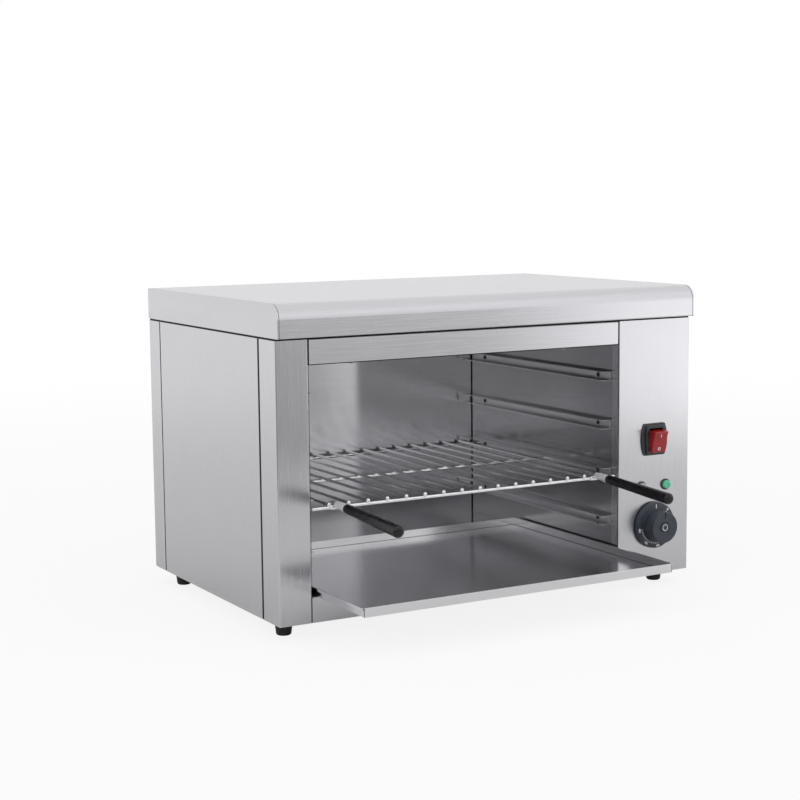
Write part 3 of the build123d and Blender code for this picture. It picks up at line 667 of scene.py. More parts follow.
def carve(piece: bpy.types.Object, cutter_shape: Shape) -> None:
    """Cuts a shape out of a piece for good.

    Args:
        piece: The piece, which has one material.
        cutter_shape: What is taken away.
    """
    cutter = link_object("cutter", cutter_shape.mesh("cutter"))
    change = piece.modifiers.new("cut", "BOOLEAN")
    change.operation = "DIFFERENCE"
    change.solver = "EXACT"
    change.object = cutter
    graph = bpy.context.evaluated_depsgraph_get()
    cut_mesh = bpy.data.meshes.new_from_object(piece.evaluated_get(graph))
    piece.modifiers.clear()
    material = piece.data.materials[0]
    piece.data = cut_mesh
    cut_mesh.materials.clear()
    cut_mesh.materials.append(material)
    cut_mesh.shade_smooth()
    cut_mesh.set_sharp_from_angle(angle=math.radians(SMOOTH_ANGLE))
    bpy.data.objects.remove(cutter)


def word(
    text: str, size: float, thickness: float, place: Matrix
) -> tuple[list[Vector], list[Face]]:
    """A printed word as points and faces.

    Args:
        text: The letters or digits.
        size: Their height, in millimetres.
        thickness: How far the print stands up, in millimetres.
        place: A frame at the word's centre.

    Returns:
        Points in metres, and faces that index them.
    """
    curve = bpy.data.curves.new("print", "FONT")
    curve.body = text
    curve.size = size
    curve.extrude = thickness
    # A little bolder than the font
    curve.offset = 0.05 * size
    curve.resolution_u = 3
    curve.align_x = "CENTER"
    curve.align_y = "CENTER"
    holder = bpy.data.objects.new("print", curve)
    mesh = bpy.data.meshes.new_from_object(holder)
    points = [place @ vertex.co for vertex in mesh.vertices]
    faces = [tuple(polygon.vertices) for polygon in mesh.polygons]
    bpy.data.objects.remove(holder)
    bpy.data.curves.remove(curve)
    bpy.data.meshes.remove(mesh)
    return points, faces


# Sub-assemblies


@dataclass
class Assembly:
    """A sub-assembly whose pieces ride on one body, with the materials made so far."""

    materials: dict[str, Material]
    body: ClassVar[str] = CABINET

    def place(
        self,
        name: str,
        shape: Shape,
        finish: Finish,
        slot: str,
        *replaced: str,
        smooth: float = SMOOTH_ANGLE,
    ) -> bpy.types.Object:
        """Makes a piece, gives it its finish and fixes it to its body.

        Args:
            name: Name of the piece.
            shape: Its shape.
            finish: The finish that it takes.
            slot: The record's material slot; not used.
            replaced: CAD nodes that it stands for.
            smooth: Edges up to this angle in degrees are smooth.

        Returns:
            The new object.
        """
        if finish.name not in self.materials:
            self.materials[finish.name] = finish.make()
        mesh = shape.mesh(name, smooth)
        mesh.materials.append(self.materials[finish.name])
        piece = link_object(name, mesh)
        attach(piece, self.body)
        if replaced:
            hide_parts(*replaced)
        log.info("%s: %d faces, rides on %s", name, len(mesh.polygons), self.body)
        return piece

    def build(self) -> None:
        """Builds the sub-assembly's pieces."""
        raise NotImplementedError


@dataclass
class Rack(Assembly):
    """The welded wire rack with its two insulated handles, sizes in millimetres."""

    wire_count: int = 16
    wire_r: float = 1.95
    wire_rounding: float = 1.7
    wire_inset: float = 22.0
    wire_length: float = 353.0
    wire_up: float = 158.4
    tip_in: float = 1.6
    tip: Triple = (2.7, 1.9, 2.9)
    weld: Triple = (2.3, 2.5, 1.0)
    rod_r: float = 2.3
    rod_rounding: float = 0.8
    rod_up: float = 154.6
    rod_inset: float = 3.5
    sleeve_half: float = 7.5
    sleeve_up: float = 1.1
    handle_inset: float = 31.0
    stem_up: float = 158.95
    stem_r: float = 2.5
    stem_ends: Pair = (-8.0, 34.0)
    root: Triple = (4.3, 1.6, 4.0)
    root_at: Triple = (0.0, -1.6, 0.2)
    droop: float = 3.0
    ferrule: Pair = (4.0, 30.0)
    grip: Pair = (30.0, 156.0)
    grip_r: Pair = (5.7, 7.1)
    cap_length: float = 10.5
    body: ClassVar[str] = RACK

    def ways(self) -> tuple[list[float], list[float], float, float]:
        """Places the wires and the rods.

        Returns:
            The wires' X, the rods' Y, and the X of the rods' ends, in metres.
        """
        low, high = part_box("rack_grid")
        left = low.x + self.wire_inset * MM
        right = high.x - self.wire_inset * MM
        step = (right - left) / (self.wire_count - 1)
        wires = [left + step * n for n in range(self.wire_count)]
        rear = high.y
        front = rear - self.wire_length * MM
        inset = self.rod_inset * MM
        return wires, [front + inset, (front + rear) / 2, rear - inset], low.x, high.x

    def handle_frame(self, side: int) -> Matrix:
        """A frame at the front rod, with Z along a handle towards the user.

        Args:
            side: 0 for the left handle and 1 for the right one.

        Returns:
            The frame, in millimetres.
        """
        low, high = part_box("rack_grid")
        inset = self.handle_inset * MM
        tilt = math.radians(self.droop)
        ahead = Vector((0.0, -math.cos(tilt), -math.sin(tilt)))
        x = (low.x + inset, high.x - inset)[side]
        return frame_at(Vector((x, self.ways()[1][0], self.stem_up * MM)), ahead, RIGHT)

    def grid(self) -> None:
        """Wires on three rods, a weld bead at each crossing, upset tips and two stems."""
        wires, rods, left, right = self.ways()
        inset = self.rod_inset * MM
        front, rear = rods[0] - inset, rods[2] + inset
        wire_z, rod_z = self.wire_up * MM, self.rod_up * MM
        shape = Shape()
        for x in wires:
            start, end = Vector((x, front, wire_z)), Vector((x, rear, wire_z))
            shape.bar(start, end, self.wire_r, self.wire_rounding)
        for y in rods:
            start, end = Vector((left, y, rod_z)), Vector((right, y, rod_z))
            shape.bar(start, end, self.rod_r, self.rod_rounding, 24)
        contact = (self.wire_up - self.wire_r) * MM
        for y in rods:
            for x in wires:
                shape.ball(frame_at(Vector((x, y, contact)), UP, RIGHT), self.weld)
        for x in wires:
            tip = Vector((x, front + self.tip_in * MM, wire_z))
            shape.ball(frame_at(tip, UP, RIGHT), self.tip, 16)
        root, far = self.stem_ends
        stem = [
            (0.0, root),
            (self.stem_r - 0.6, root),
            (self.stem_r, root + 0.8),
            (self.stem_r, far),
            (0.0, far),
        ]
        for side in (0, 1):
            place = self.handle_frame(side)
            shape.lathe(place, stem, 20)
            shape.ball(place @ Matrix.Translation(self.root_at), self.root, 16)
            middle = Vector((place.translation.x, rods[0], rod_z))
            reach = self.sleeve_half * MM * RIGHT
            sleeve_r = self.rod_r + self.sleeve_up
            shape.bar(middle - reach, middle + reach, sleeve_r, self.rod_rounding, 24)
        self.place("rack_wirework", shape, BRIGHT_WIRE, "bright_stainless", "rack_grid")

    def grip_profile(self) -> list[Pair]:
        """Draws a tapered grip with a fine groove that sets its end cap off.

        Returns:
            Radius and distance from the rod of each ring.
        """
        near, far = self.grip
        low_r, high_r = self.grip_r
        groove = far - self.cap_length
        groove_r = low_r + (high_r - low_r) * (groove - near) / (far - near)
        return [
            (0.0, near),
            (low_r - 0.9, near),
            *arc((low_r - 0.9, near + 0.9), 0.9, -60, 0),
            (groove_r - 0.02, groove - 0.5),
            (groove_r - 0.45, groove - 0.15),
            (groove_r - 0.45, groove + 0.15),
            (groove_r + 0.03, groove + 0.5),
            (high_r - 0.02, far - 5.0),
            *arc((high_r - 4.6, far - 4.6), 4.6, 0, 90, 8),
            (0.0, far),
        ]

    def handles(self) -> None:
        """Phenolic grips and the cast ferrules behind them."""
        start, end = self.ferrule
        cone = [
            (self.stem_r, start),
            (3.3, start),
            (3.8, start + 0.6),
            (4.3, start + 8.0),
            (5.4, end - 1.0),
            (5.0, end),
            (self.stem_r, end),
        ]
        ferrules = Shape()
        for side, name in enumerate(("left", "right")):
            place = self.handle_frame(side)
            ferrules.lathe(place, cone, 32)
            grip = Shape()
            grip.lathe(place, self.grip_profile(), 40)
            node = f"handle_grip_{name}"
            self.place(f"grip_{name}", grip, PHENOLIC, "black_plastic", node, smooth=28.0)
        self.place("ferrules", ferrules, CAST_FERRULE, "bright_stainless", "handle_ferrules")

    def build(self) -> None:
        """Builds the rack and its handles."""
        self.grid()
        self.handles()


@dataclass
class DripTray(Assembly):
    """The folded tray with tight corners and hemmed sides, sizes in millimetres."""

    sheet: float = 1.0
    hem: float = 2.6
    hem_drop: float = 3.4
    hem_setback: float = 1.6
    edge: float = 0.35
    joint: float = 0.35
    joint_depth: float = 0.3
    joint_end: float = 0.1
    hair: float = 0.02
    body: ClassVar[str] = TRAY

    def corners(self) -> tuple[tuple[Vector, Vector], tuple[Vector, Vector]]:
        """Finds the boxes of the shell's outside and inside.

        Returns:
            The lowest and the highest corner of each, in metres.
        """
        low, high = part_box("drip_tray")
        hem = Vector((self.hem * MM, 0.0, 0.0))
        wall = self.sheet * MM
        outer = (low + hem, high - hem)
        return outer, (outer[0] + Vector((wall, wall, wall)), outer[1] - Vector((wall, wall, 0.0)))

    def shell(self) -> None:
        """The shell and its two hems, with lightly broken edges that catch the light."""
        low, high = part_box("drip_tray")
        outer, inner = self.corners()
        points: list[Vector] = []
        for (near, far), level in (
            (outer, outer[0].z),
            (outer, outer[1].z),
            (inner, outer[1].z),
            (inner, inner[0].z),
        ):
            flat = ((near.x, near.y), (far.x, near.y), (far.x, far.y), (near.x, far.y))
            points += [Vector((x, y, level)) for x, y in flat]
        faces: list[Face] = [(3, 2, 1, 0), (12, 13, 14, 15)]
        for start in (0, 4, 8):
            for n in range(4):
                after = (n + 1) % 4
                faces.append((start + n, start + after, start + 4 + after, start + 4 + n))
        shape = Shape()
        shape.add(points, faces)
        width = (self.hem + 0.3 * self.sheet) * MM
        setback = self.hem_setback * MM
        for x_low, x_high in ((low.x, low.x + width), (high.x - width, high.x)):
            shape.block(
                ROW,
                (x_low, low.y + setback, high.z - self.hem_drop * MM),
                (x_high, high.y - setback, high.z - self.hair * MM),
            )
        piece = self.place("tray_shell", shape, TRAY_SHEET, "mill_stainless", "drip_tray")
        change = piece.modifiers.new("eased_edges", "BEVEL")
        change.width = self.edge * MM
        change.segments = 2
        change.limit_method = "ANGLE"
        change.angle_limit = math.radians(40.0)
        change.harden_normals = True

    def joints(self) -> None:
        """Dark strips that paint the shade in the open joints at the front corners and in the
        folds along the floor's edge.
        """
        outer, inner = self.corners()
        half, deep, end = (size * MM for size in (self.joint, self.joint_depth, self.joint_end))
        shape = Shape()
        for x in (outer[0].x, outer[1].x):
            y, z = outer[0].y, outer[0].z
            shape.block(
                ROW,
                (x - half, y - self.hair * MM, z + deep),
                (x + half, y + deep, outer[1].z - end),
            )
        low_z, high_z = inner[0].z - end, inner[0].z + deep
        for x in (inner[0].x, inner[1].x):
            shape.block(ROW, (x - half, inner[0].y, low_z), (x + half, inner[1].y, high_z))
        for y in (inner[0].y, inner[1].y):
            shape.block(ROW, (inner[0].x, y - half, low_z), (inner[1].x, y + half, high_z))
        self.place("tray_painted_shade_lines", shape, OXIDISED_SHEATH_AND_PAINTED_SHADE, "mill_stainless")

    def build(self) -> None:
        """Builds the shell and the painted shade of its joints and folds."""
        self.shell()
        self.joints()


@dataclass
class Thermostat(Assembly):
    """The skirted dial with its printed scale, sizes in millimetres."""

    rim_r: float = 30.7
    face_r: float = 30.2
    gap: float = 1.2
    skirt: float = 6.8
    grip_base_r: float = 21.1
    grip_r: float = 20.3
    depth: float = 25.8
    wall: float = 2.2
    bore_r: float = 3.4
    notch_half: float = 1.1
    cap_r: float = 6.4
    cap_top: float = 26.0
    ring_r: Pair = (3.5, 4.2)
    print_up: float = 0.06
    tick_half: float = 0.5
    tick_r: Pair = (22.3, 24.5)
    zero_extra: float = 3.2
    number_r: float = 27.0
    number_size: float = 3.5
    scale_top: int = 300
    scale_step: int = 10
    number_step: int = 50
    sweep: float = 260.0
    body: ClassVar[str] = DIAL

    def centre(self) -> Matrix:
        """A frame on the front face at the dial's centre, looking at the user."""
        return frame_on("knob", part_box("control_panel")[0].y)

    def moulding(self) -> None:
        """A skirt, a tapered grip with a dished face, and a pointer notch."""
        profile = [
            (0.0, self.depth - 1.0),
            (self.cap_r, self.depth - 1.0),
            (self.cap_r + 0.1, self.depth - 0.9),
            *arc((self.cap_r + 2.4, self.depth - 1.0), 0.9, 150, 60, 4),
            (self.cap_r + 4.4, self.depth - 0.35),
            (self.grip_r - 1.6, self.depth),
            *arc((self.grip_r - 1.3, self.depth - 1.3), 1.3, 88, 4, 6),
            (self.grip_base_r, self.skirt + 0.5),
            (self.grip_base_r + 0.5, self.skirt),
            *arc((self.face_r - 1.2, self.skirt - 1.2), 1.2, 88, 4, 5),
            (self.rim_r, self.gap + 0.3),
            (self.rim_r - 0.3, self.gap),
            (self.rim_r - self.wall, self.gap),
            (self.face_r - self.wall, self.skirt - self.wall),
            (7.0, self.skirt - self.wall),
            (6.0, 3.0),
            (self.bore_r, 3.0),
            (self.bore_r, 4.0),
            (0.0, 4.0),
        ]
        shape = Shape()
        shape.lathe(self.centre(), profile, 96)
        knob = self.place("dial_body", shape, DIAL_PLASTIC, "knob_plastic", "knob")
        notch = Shape()
        notch.block(
            self.centre(),
            (-self.notch_half, self.grip_r - 9.0, self.depth - 0.9),
            (self.notch_half, self.grip_r + 3.0, self.depth + 1.0),
        )
        carve(knob, notch)

    def cap(self) -> None:
        """The plain centre cap with a printed ring round its middle."""
        rim = self.cap_r - 0.2
        shape = Shape()
        profile = [
            (rim, self.depth - 1.0),
            (rim, self.cap_top - 0.5),
            *arc((rim - 0.5, self.cap_top - 0.5), 0.5, 10, 90, 4),
            (5.0, self.cap_top),
            (4.6, self.cap_top - 0.15),
            (0.0, self.cap_top - 0.25),
        ]
        shape.lathe(self.centre(), profile, 64)
        self.place("dial_cap", shape, CAP_PLASTIC, "cap_plastic", "knob_cap")
        inner, outer = self.ring_r
        top = self.cap_top - 0.1
        ring = Shape()
        section = [(inner, top - 0.2), (inner, top), (outer, top), (outer, top - 0.2)]
        ring.lathe(self.centre(), section, 64)
        self.place("dial_ring", ring, WHITE_PRINT, "white_plastic")

    def at_value(self, value: int) -> Matrix:
        """The dial's frame, turned to a value of the scale."""
        turn = math.radians(-value * self.sweep / self.scale_top)
        return self.centre() @ Matrix.Rotation(turn, 4, "Z")

    def scale(self) -> None:
        """Printed ticks and plain numbers round the skirt."""
        shape = Shape()
        start, end = self.tick_r
        for value in (0, *range(self.number_step, self.scale_top + 1, self.scale_step)):
            far = end + (0.0 if value else self.zero_extra)
            shape.block(
                self.at_value(value),
                (-self.tick_half, start, self.skirt - 0.02),
                (self.tick_half, far, self.skirt + self.print_up),
            )
        for value in range(self.number_step, self.scale_top + 1, self.number_step):
            middle = Matrix.Translation((0, self.number_r, self.skirt))
            place = self.at_value(value) @ middle
            shape.add(*word(str(value), self.number_size, self.print_up, place))
        self.place("dial_print", shape, WHITE_PRINT, "white_plastic")

    def build(self) -> None:
        """Builds the dial, its cap and its scale."""
        self.moulding()
        self.cap()
        self.scale()


@dataclass
class RockerSwitch(Assembly):
    """The marks on the switch's rocker, sizes in millimetres."""

    tilt: float = 14.0
    pivot_out: float = 3.0
    reach: float = 11.9
    half_height: float = 14.4
    dish: float = 1.0
    mark_up: float = 9.0
    bar: Pair = (0.45, 2.0)
    ring_r: Pair = (1.3, 2.2)
    print_up: float = 0.2
    print_root: float = 0.4
    body: ClassVar[str] = ROCKER

    def pivot(self) -> Matrix:
        """A frame at the rocker's pivot, tilted with it.

        Returns:
            The frame, in millimetres, looking at the user.
        """
        low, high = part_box("rocker")
        frame_low, frame_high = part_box("switch_frame")
        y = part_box("control_panel")[0].y - self.pivot_out * MM
        origin = Vector(((low.x + high.x) / 2, y, (frame_low.z + frame_high.z) / 2))
        tilt = math.radians(self.tilt)
        return frame_at(origin, Vector((0.0, -math.cos(tilt), -math.sin(tilt))), RIGHT)

    def build(self) -> None:
        """Prints a bar for on and a ring for off on the dished face."""
        face = self.reach - self.dish * (1 - (self.mark_up / self.half_height) ** 2)
        low, high = face - self.print_root, face + self.print_up
        half_width, half_height = self.bar
        shape = Shape()
        shape.block(
            self.pivot(),
            (-half_width, self.mark_up - half_height, low),
            (half_width, self.mark_up + half_height, high),
        )
        inner, outer = self.ring_r
        place = self.pivot() @ Matrix.Translation((0, -self.mark_up, 0))
        shape.lathe(place, [(inner, low), (inner, high), (outer, high), (outer, low)], 40)
        self.place("switch_marks", shape, WHITE_PRINT, "white_plastic")


@dataclass
class PilotLamps(Assembly):
    """Two pilot lamps, each a dark bezel round a stepped lens, sizes in millimetres."""

    bezel_r: float = 7.3
    bezel_out: float = 1.8
    lens_r: float = 5.7
    lens_out: float = 5.6

    def lamp(self, colour: str, glass: Finish) -> None:
        """Builds one lamp.

        Args:
            colour: The colour in the names of its node and slot.
            glass: The finish of its lens.
        """
        node, slot = f"lamp_lens_{colour}", f"{colour}_lens"
        place = frame_on(node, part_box(node)[1].y)
        bezel = Shape()
        out = self.bezel_out
        ring = [
            (self.lens_r - 0.2, 0.0),
            (self.bezel_r, 0.0),
            (self.bezel_r, out - 0.6),
            *arc((self.bezel_r - 0.6, out - 0.6), 0.6, 10, 90, 4),
            (self.lens_r + 0.35, out),
            (self.lens_r + 0.1, out - 0.3),
            (self.lens_r - 0.2, out - 0.3),
        ]
        bezel.lathe(place, ring, 56)
        self.place(f"lamp_bezel_{colour}", bezel, SWITCH_ABS, slot)
        dome = Shape()
        top = self.lens_out
        crown = [
            (0.0, 0.2),
            (self.lens_r, 0.2),
            (self.lens_r, top - 2.2),
            *arc((self.lens_r - 2.2, top - 2.2), 2.2, 8, 82, 6),
            (3.1, top - 0.02),
            (2.9, top - 0.35),
            (2.3, top - 0.35),
            (2.1, top - 0.02),
            (1.2, top),
            (0.0, top),
        ]
        dome.lathe(place, crown, 56)
        self.place(f"lamp_dome_{colour}", dome, glass, slot, node)

    def build(self) -> None:
        """Builds both lamps."""
        self.lamp("amber", SMOKED_LENS)
        self.lamp("green", GREEN_LENS)


@dataclass
class Rivets(Assembly):
    """Blind rivets that hold the runners, each with the stub of its mandrel."""

    head_r: float = 3.0
    head: float = 1.2
    sheet: float = 1.0
    ups: tuple[float, ...] = (94.1, 157.1, 220.1, 283.1)
    inset_front: float = 43.0
    inset_rear: float = 38.0

    def build(self) -> None:
        """Builds all the heads on both walls."""
        sheet = self.sheet * MM
        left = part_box("liner_left")[1].x + sheet
        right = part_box("liner_right")[0].x - sheet
        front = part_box("control_panel")[0].y + self.inset_front * MM
        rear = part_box("liner_rear")[0].y - self.inset_rear * MM
        profile = [
            (self.head_r, 0.0),
            (self.head_r, 0.15),
            *arc((self.head_r - 1.3, 0.1), 1.1, 30, 80, 4),
            (1.15, self.head),
            (0.95, self.head - 0.15),
            (0.9, self.head - 0.6),
            (0.0, self.head - 0.5),
        ]
        shape = Shape()
        for up in self.ups:
            for y in (front, rear):
                for x, way in ((left, RIGHT), (right, -RIGHT)):
                    place = frame_at(Vector((x, y, up * MM)), way, TO_REAR)
                    shape.lathe(place, profile, 28)
        # The heads take the dark sheath finish, so that they read as dark dots
        self.place("rivet_heads", shape, OXIDISED_SHEATH_AND_PAINTED_SHADE, "bright_stainless", "runner_rivets")


@dataclass
class Seams(Assembly):
    """The joints between sheets with their shade painted dark, and the seal under the cover with a
    painted shadow band near its edge.
    """

    shade_band_inset: float = 1.0
    shade_band_width: float = 5.0
    shade_band_slack: float = 0.05
    seal_width: float = 10.0
    # From where the painted shade blocks begin to where they end, under the skin of the sheets
    groove_depths: Pair = (1.6, 6.4)
    corner_shade_size: float = 0.9
    corner_shade_end: float = 0.5
    slack: float = 0.02
    end_gap: float = 0.2
    shade_strip_up: float = 0.08
    front_shade_strip: float = 4.2
    rear_shade_strip: float = 1.8
    lintel_shade_strip: float = 1.8
    edge_shade_strip: float = 0.8
    left_edge_shade_strip: float = 0.48
    bullnose: float = 18.0
    line_width: float = 0.6
    line_inset: float = 1.0
    line_up: float = 0.01
    line_depth: float = 0.3
    line_foot: float = 0.2

    @staticmethod
    def border(shape: Shape, low: Sequence[float], high: Sequence[float], wide: float) -> None:
        """Adds four strips round a level rectangle.

        Args:
            shape: What gets the strips.
            low: Lowest outer corner, in metres.
            high: Highest outer corner, in metres.
            wide: Width of the strips, in metres.
        """
        (x0, y0, z0), (x1, y1, z1) = low, high
        shape.block(ROW, (x0, y0, z0), (x1, y0 + wide, z1))
        shape.block(ROW, (x0, y1 - wide, z0), (x1, y1, z1))
        shape.block(ROW, (x0, y0 + wide, z0), (x0 + wide, y1 - wide, z1))
        shape.block(ROW, (x1 - wide, y0 + wide, z0), (x1, y1 - wide, z1))

    def seal_and_shade_band(self) -> None:
        """The seal round the top of the case, and a dark band of it near the cover's edge that
        paints the shadow in the gap under the cover.
        """
        low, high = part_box("front_post_left")
        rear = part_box("rear_post_left")[1].y
        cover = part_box("top_cover")[0].z
        inset, slack = self.shade_band_inset * MM, self.shade_band_slack * MM
        # A dark band near the cover's edge: painted shadow of the gap under the cover
        shade_band_low = (low.x + inset, low.y + inset, high.z + slack)
        shade_band_high = (-low.x - inset, rear - inset, cover - slack)
        shape = Shape()
        self.border(shape, shade_band_low, shade_band_high, self.shade_band_width * MM)
        self.border(shape, *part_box("cover_seal"), self.seal_width * MM)
        self.place("cover_seal_and_painted_shade", shape, SEAL_AND_PAINTED_SHADE, "black_rubber", "cover_seal")

    def side_joints(self) -> tuple[Pair, Pair]:
        """Finds the grooves in front of and behind the side sheet.

        Returns:
            The near and the far Y of each.
        """
        names = ("front_post_left", "side_panel_left", "rear_post_left")
        front, side, rear = (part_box(name) for name in names)
        return (front[1].y, side[0].y), (side[1].y, rear[0].y)

    def grooves(self) -> None:
        """Dark blocks that paint the shade deep in the joints of the side sheets and in the
        cavity's rear corners.
        """
        low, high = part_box("front_post_left")
        begin, end = (low.x + depth * MM for depth in self.groove_depths)
        slack, gap = self.slack * MM, self.end_gap * MM
        shape = Shape()
        for near, far in self.side_joints():
            for way in (1, -1):
                x0, x1 = sorted((way * begin, way * end))
                shape.block(ROW, (x0, near + slack, low.z + gap), (x1, far - slack, high.z - gap))
        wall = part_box("liner_rear")[0].y
        floor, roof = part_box("cavity_floor")[1].z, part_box("reflector")[0].z
        size = self.corner_shade_size * MM
        for x, way in ((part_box("liner_left")[1].x, 1), (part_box("liner_right")[0].x, -1)):
            x0, x1 = sorted((x, x + way * size))
            ends = floor + self.corner_shade_end * MM, roof - self.corner_shade_end * MM
            shape.block(ROW, (x0, wall - size, ends[0]), (x1, wall - slack, ends[1]))
        self.place("joint_painted_shade", shape, SEAL_AND_PAINTED_SHADE, "black_rubber")

    def shade_strips(self) -> None:
        """Thin dark strips along the joints that show on the outside: painted shade.

        The strip over the front groove is wider than the groove, so that the joint's painted shade
        reads as dark as the real one.
        """
        post_low, post_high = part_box("front_post_left")
        up, gap = self.shade_strip_up * MM, self.end_gap * MM
        shape = Shape()
        for (near, far), width in zip(self.side_joints(), (self.front_shade_strip, self.rear_shade_strip)):
            middle, half = (near + far) / 2, width * MM / 2
            for way in (1, -1):
                x0, x1 = sorted((way * (post_low.x - up), way * (post_low.x + up)))
                corner = (x0, middle - half, post_low.z + gap)
                shape.block(ROW, corner, (x1, middle + half, post_high.z - gap))
        low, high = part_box("lintel")
        front, foot = post_low.y, post_low.z
        half, edge, thin = (
            size * MM for size in (self.lintel_shade_strip / 2, self.edge_shade_strip, self.left_edge_shade_strip)
        )
        for x0, z0, x1, z1 in (
            (low.x - half, low.z, low.x + half, high.z),
            (high.x - half, low.z, high.x + half, high.z),
            (low.x, low.z, high.x, low.z + edge),
            (high.x, foot, high.x + edge, low.z),
            (low.x - thin, foot, low.x, low.z),
        ):
            shape.block(ROW, (x0, front - up, z0), (x1, front + up, z1))
        self.place("joint_painted_shade_strips", shape, SEAL_AND_PAINTED_SHADE, "black_rubber")

    def cover_seam_shade_lines(self) -> None:
        """A fine dark line where each end plate meets the cover's skin: painted shade of the seam.
        """
        low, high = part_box("top_cover")
        radius, width, inset = (
            size * MM for size in (self.bullnose, self.line_width, self.line_inset)
        )
        centre = (low.y + radius, high.z - radius)
        shape = Shape()
        for outer in (low.x + inset, high.x - inset - width):
            points: list[Vector] = []
            for lift in (self.line_up * MM, -self.line_depth * MM):
                line = [
                    (high.y - inset, high.z + lift),
                    *arc(centre, radius + lift, 90, 180, 16),
                    (low.y - lift, low.z + self.line_foot * MM),
                ]
                points += [Vector((x, y, z)) for y, z in line for x in (outer, outer + width)]
            count = len(points) // 2
            faces: list[Face] = [
                (0, count, count + 1, 1),
                (count - 2, count - 1, 2 * count - 1, 2 * count - 2),
            ]
            for n in range(0, count - 2, 2):
                m = count + n
                faces += [
                    (n, n + 1, n + 3, n + 2),
                    (m, m + 2, m + 3, m + 1),
                    (n, n + 2, m + 2, m),
                    (n + 1, m + 1, m + 3, n + 3),
                ]
            shape.add(points, faces)
        self.place("cover_seam_shade_lines", shape, SEAL_AND_PAINTED_SHADE, "black_rubber")

    def build(self) -> None:
        """Builds the seal with its painted shadow band, and the painted shade in the joints and
        along the cover's seams.
        """
        self.seal_and_shade_band()
        self.grooves()
        self.shade_strips()
        self.cover_seam_shade_lines()


@dataclass
class RearFittings(Assembly):
    """The gland and the panel screws at the back, sizes in millimetres."""

    bore: float = 4.6
    shank: Pair = (8.0, 11.0)
    hex_r: float = 11.4
    hex_out: float = 5.0
    dome_r: float = 9.5
    reach: float = 19.0
    dome_ribs: int = 16
    rib_depth: float = 0.7
    screw_head_r: float = 3.6
    screw_head: float = 1.6
    screw_rows: int = 3
    screw_turn: float = 23.0
    recess: Pair = (0.4, 1.9)
    recess_depth: float = 1.0

    def gland(self) -> None:
        """A hexagonal foot and a ribbed dome nut round the open bore."""
        place = frame_on("cable_gland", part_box("back_panel")[1].y, TO_REAR)
        shank_r, shank = self.shank
        foot = Shape()
        section = [
            (self.bore, -shank),
            (shank_r, -shank),
            (shank_r, 0.0),
            (self.hex_r, 0.0),
            (self.hex_r, self.hex_out - 0.5),
            (self.hex_r - 0.8, self.hex_out),
            (self.bore, self.hex_out),
        ]
        foot.lathe(place, section, 6)
        self.place("gland_foot", foot, PHENOLIC, "black_plastic", "cable_gland")
        dome = Shape()
        out = self.reach
        barrel = [
            (self.bore, self.hex_out),
            (self.dome_r - 0.4, self.hex_out),
            (self.dome_r, self.hex_out + 0.5),
            (self.dome_r, out - 5.5),
            (self.dome_r - 0.4, out - 4.6),
        ]
        dome.lathe(place, barrel, 96, self.dome_ribs, self.rib_depth)
        crown = [
            (self.dome_r - 0.75, out - 4.8),
            *arc((self.dome_r - 4.0, out - 3.4), 3.2, 10, 85, 6),
            (self.bore + 0.2, out - 0.1),
            (self.bore, out - 0.4),
            (self.bore, self.hex_out),
        ]
        dome.lathe(place, crown, 96)
        self.place("gland_dome", dome, PHENOLIC, "black_plastic")

    def add_recess(self, shape: Shape, place: Matrix) -> None:
        """Adds the cross that a driver fits, as one closed prism.

        Args:
            shape: What gets the cross.
            place: Frame of the screw, in millimetres.
        """
        thin, long = self.recess
        outline = [
            Matrix.Rotation(math.radians(90 * quarter), 2) @ Vector(corner)
            for quarter in range(4)
            for corner in ((long, -thin), (long, thin), (thin, thin))
        ]
        count = len(outline)
        levels = (self.screw_head - self.recess_depth, self.screw_head + 0.5)
        points = [place @ Vector((*flat, z)) for z in levels for flat in outline]
        after = [(n + 1) % count for n in range(count)]
        faces = [(n, after[n], count + after[n], count + n) for n in range(count)]
        shape.add(points, [*faces, tuple(reversed(range(count))), tuple(range(count, 2 * count))])

    def screws(self) -> None:
        """Domed heads with a cross recess, each turned a little differently."""
        low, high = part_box("back_panel_screws")
        panel_low, panel_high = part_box("back_panel")
        step = (panel_high.z - panel_low.z) / self.screw_rows
        head_r, head = self.screw_head_r, self.screw_head
        profile = [
            (0.0, 0.0),
            (head_r, 0.0),
            (head_r, 0.3),
            (head_r - 0.35, 0.85),
            (head_r - 1.1, 1.3),
            (head_r - 2.2, head - 0.06),
            (0.0, head),
        ]
        seats = [
            Vector((x, panel_high.y, panel_low.z + step * (row + 0.5)))
            for x in (low.x + head_r * MM, high.x - head_r * MM)
            for row in range(self.screw_rows)
        ]
        heads, recesses = Shape(), Shape()
        for index, seat in enumerate(seats):
            place = frame_at(seat, TO_REAR, -RIGHT)
            heads.lathe(place, profile, 32)
            turn = Matrix.Rotation(math.radians(self.screw_turn * index), 4, "Z")
            self.add_recess(recesses, place @ turn)
        piece = self.place("back_screw_heads", heads, ZINC, "plated_steel", "back_panel_screws")
        carve(piece, recesses)

    def build(self) -> None:
        """Builds the gland and the screws."""
        self.gland()
        self.screws()


# Studio


@dataclass(frozen=True)
class SoftBox:
    """A lamp: where it hangs, its width and height, its watts and whether metal shows it."""

    name: str
    place: Triple
    size: Pair
    watts: float
    mirrored: bool = False


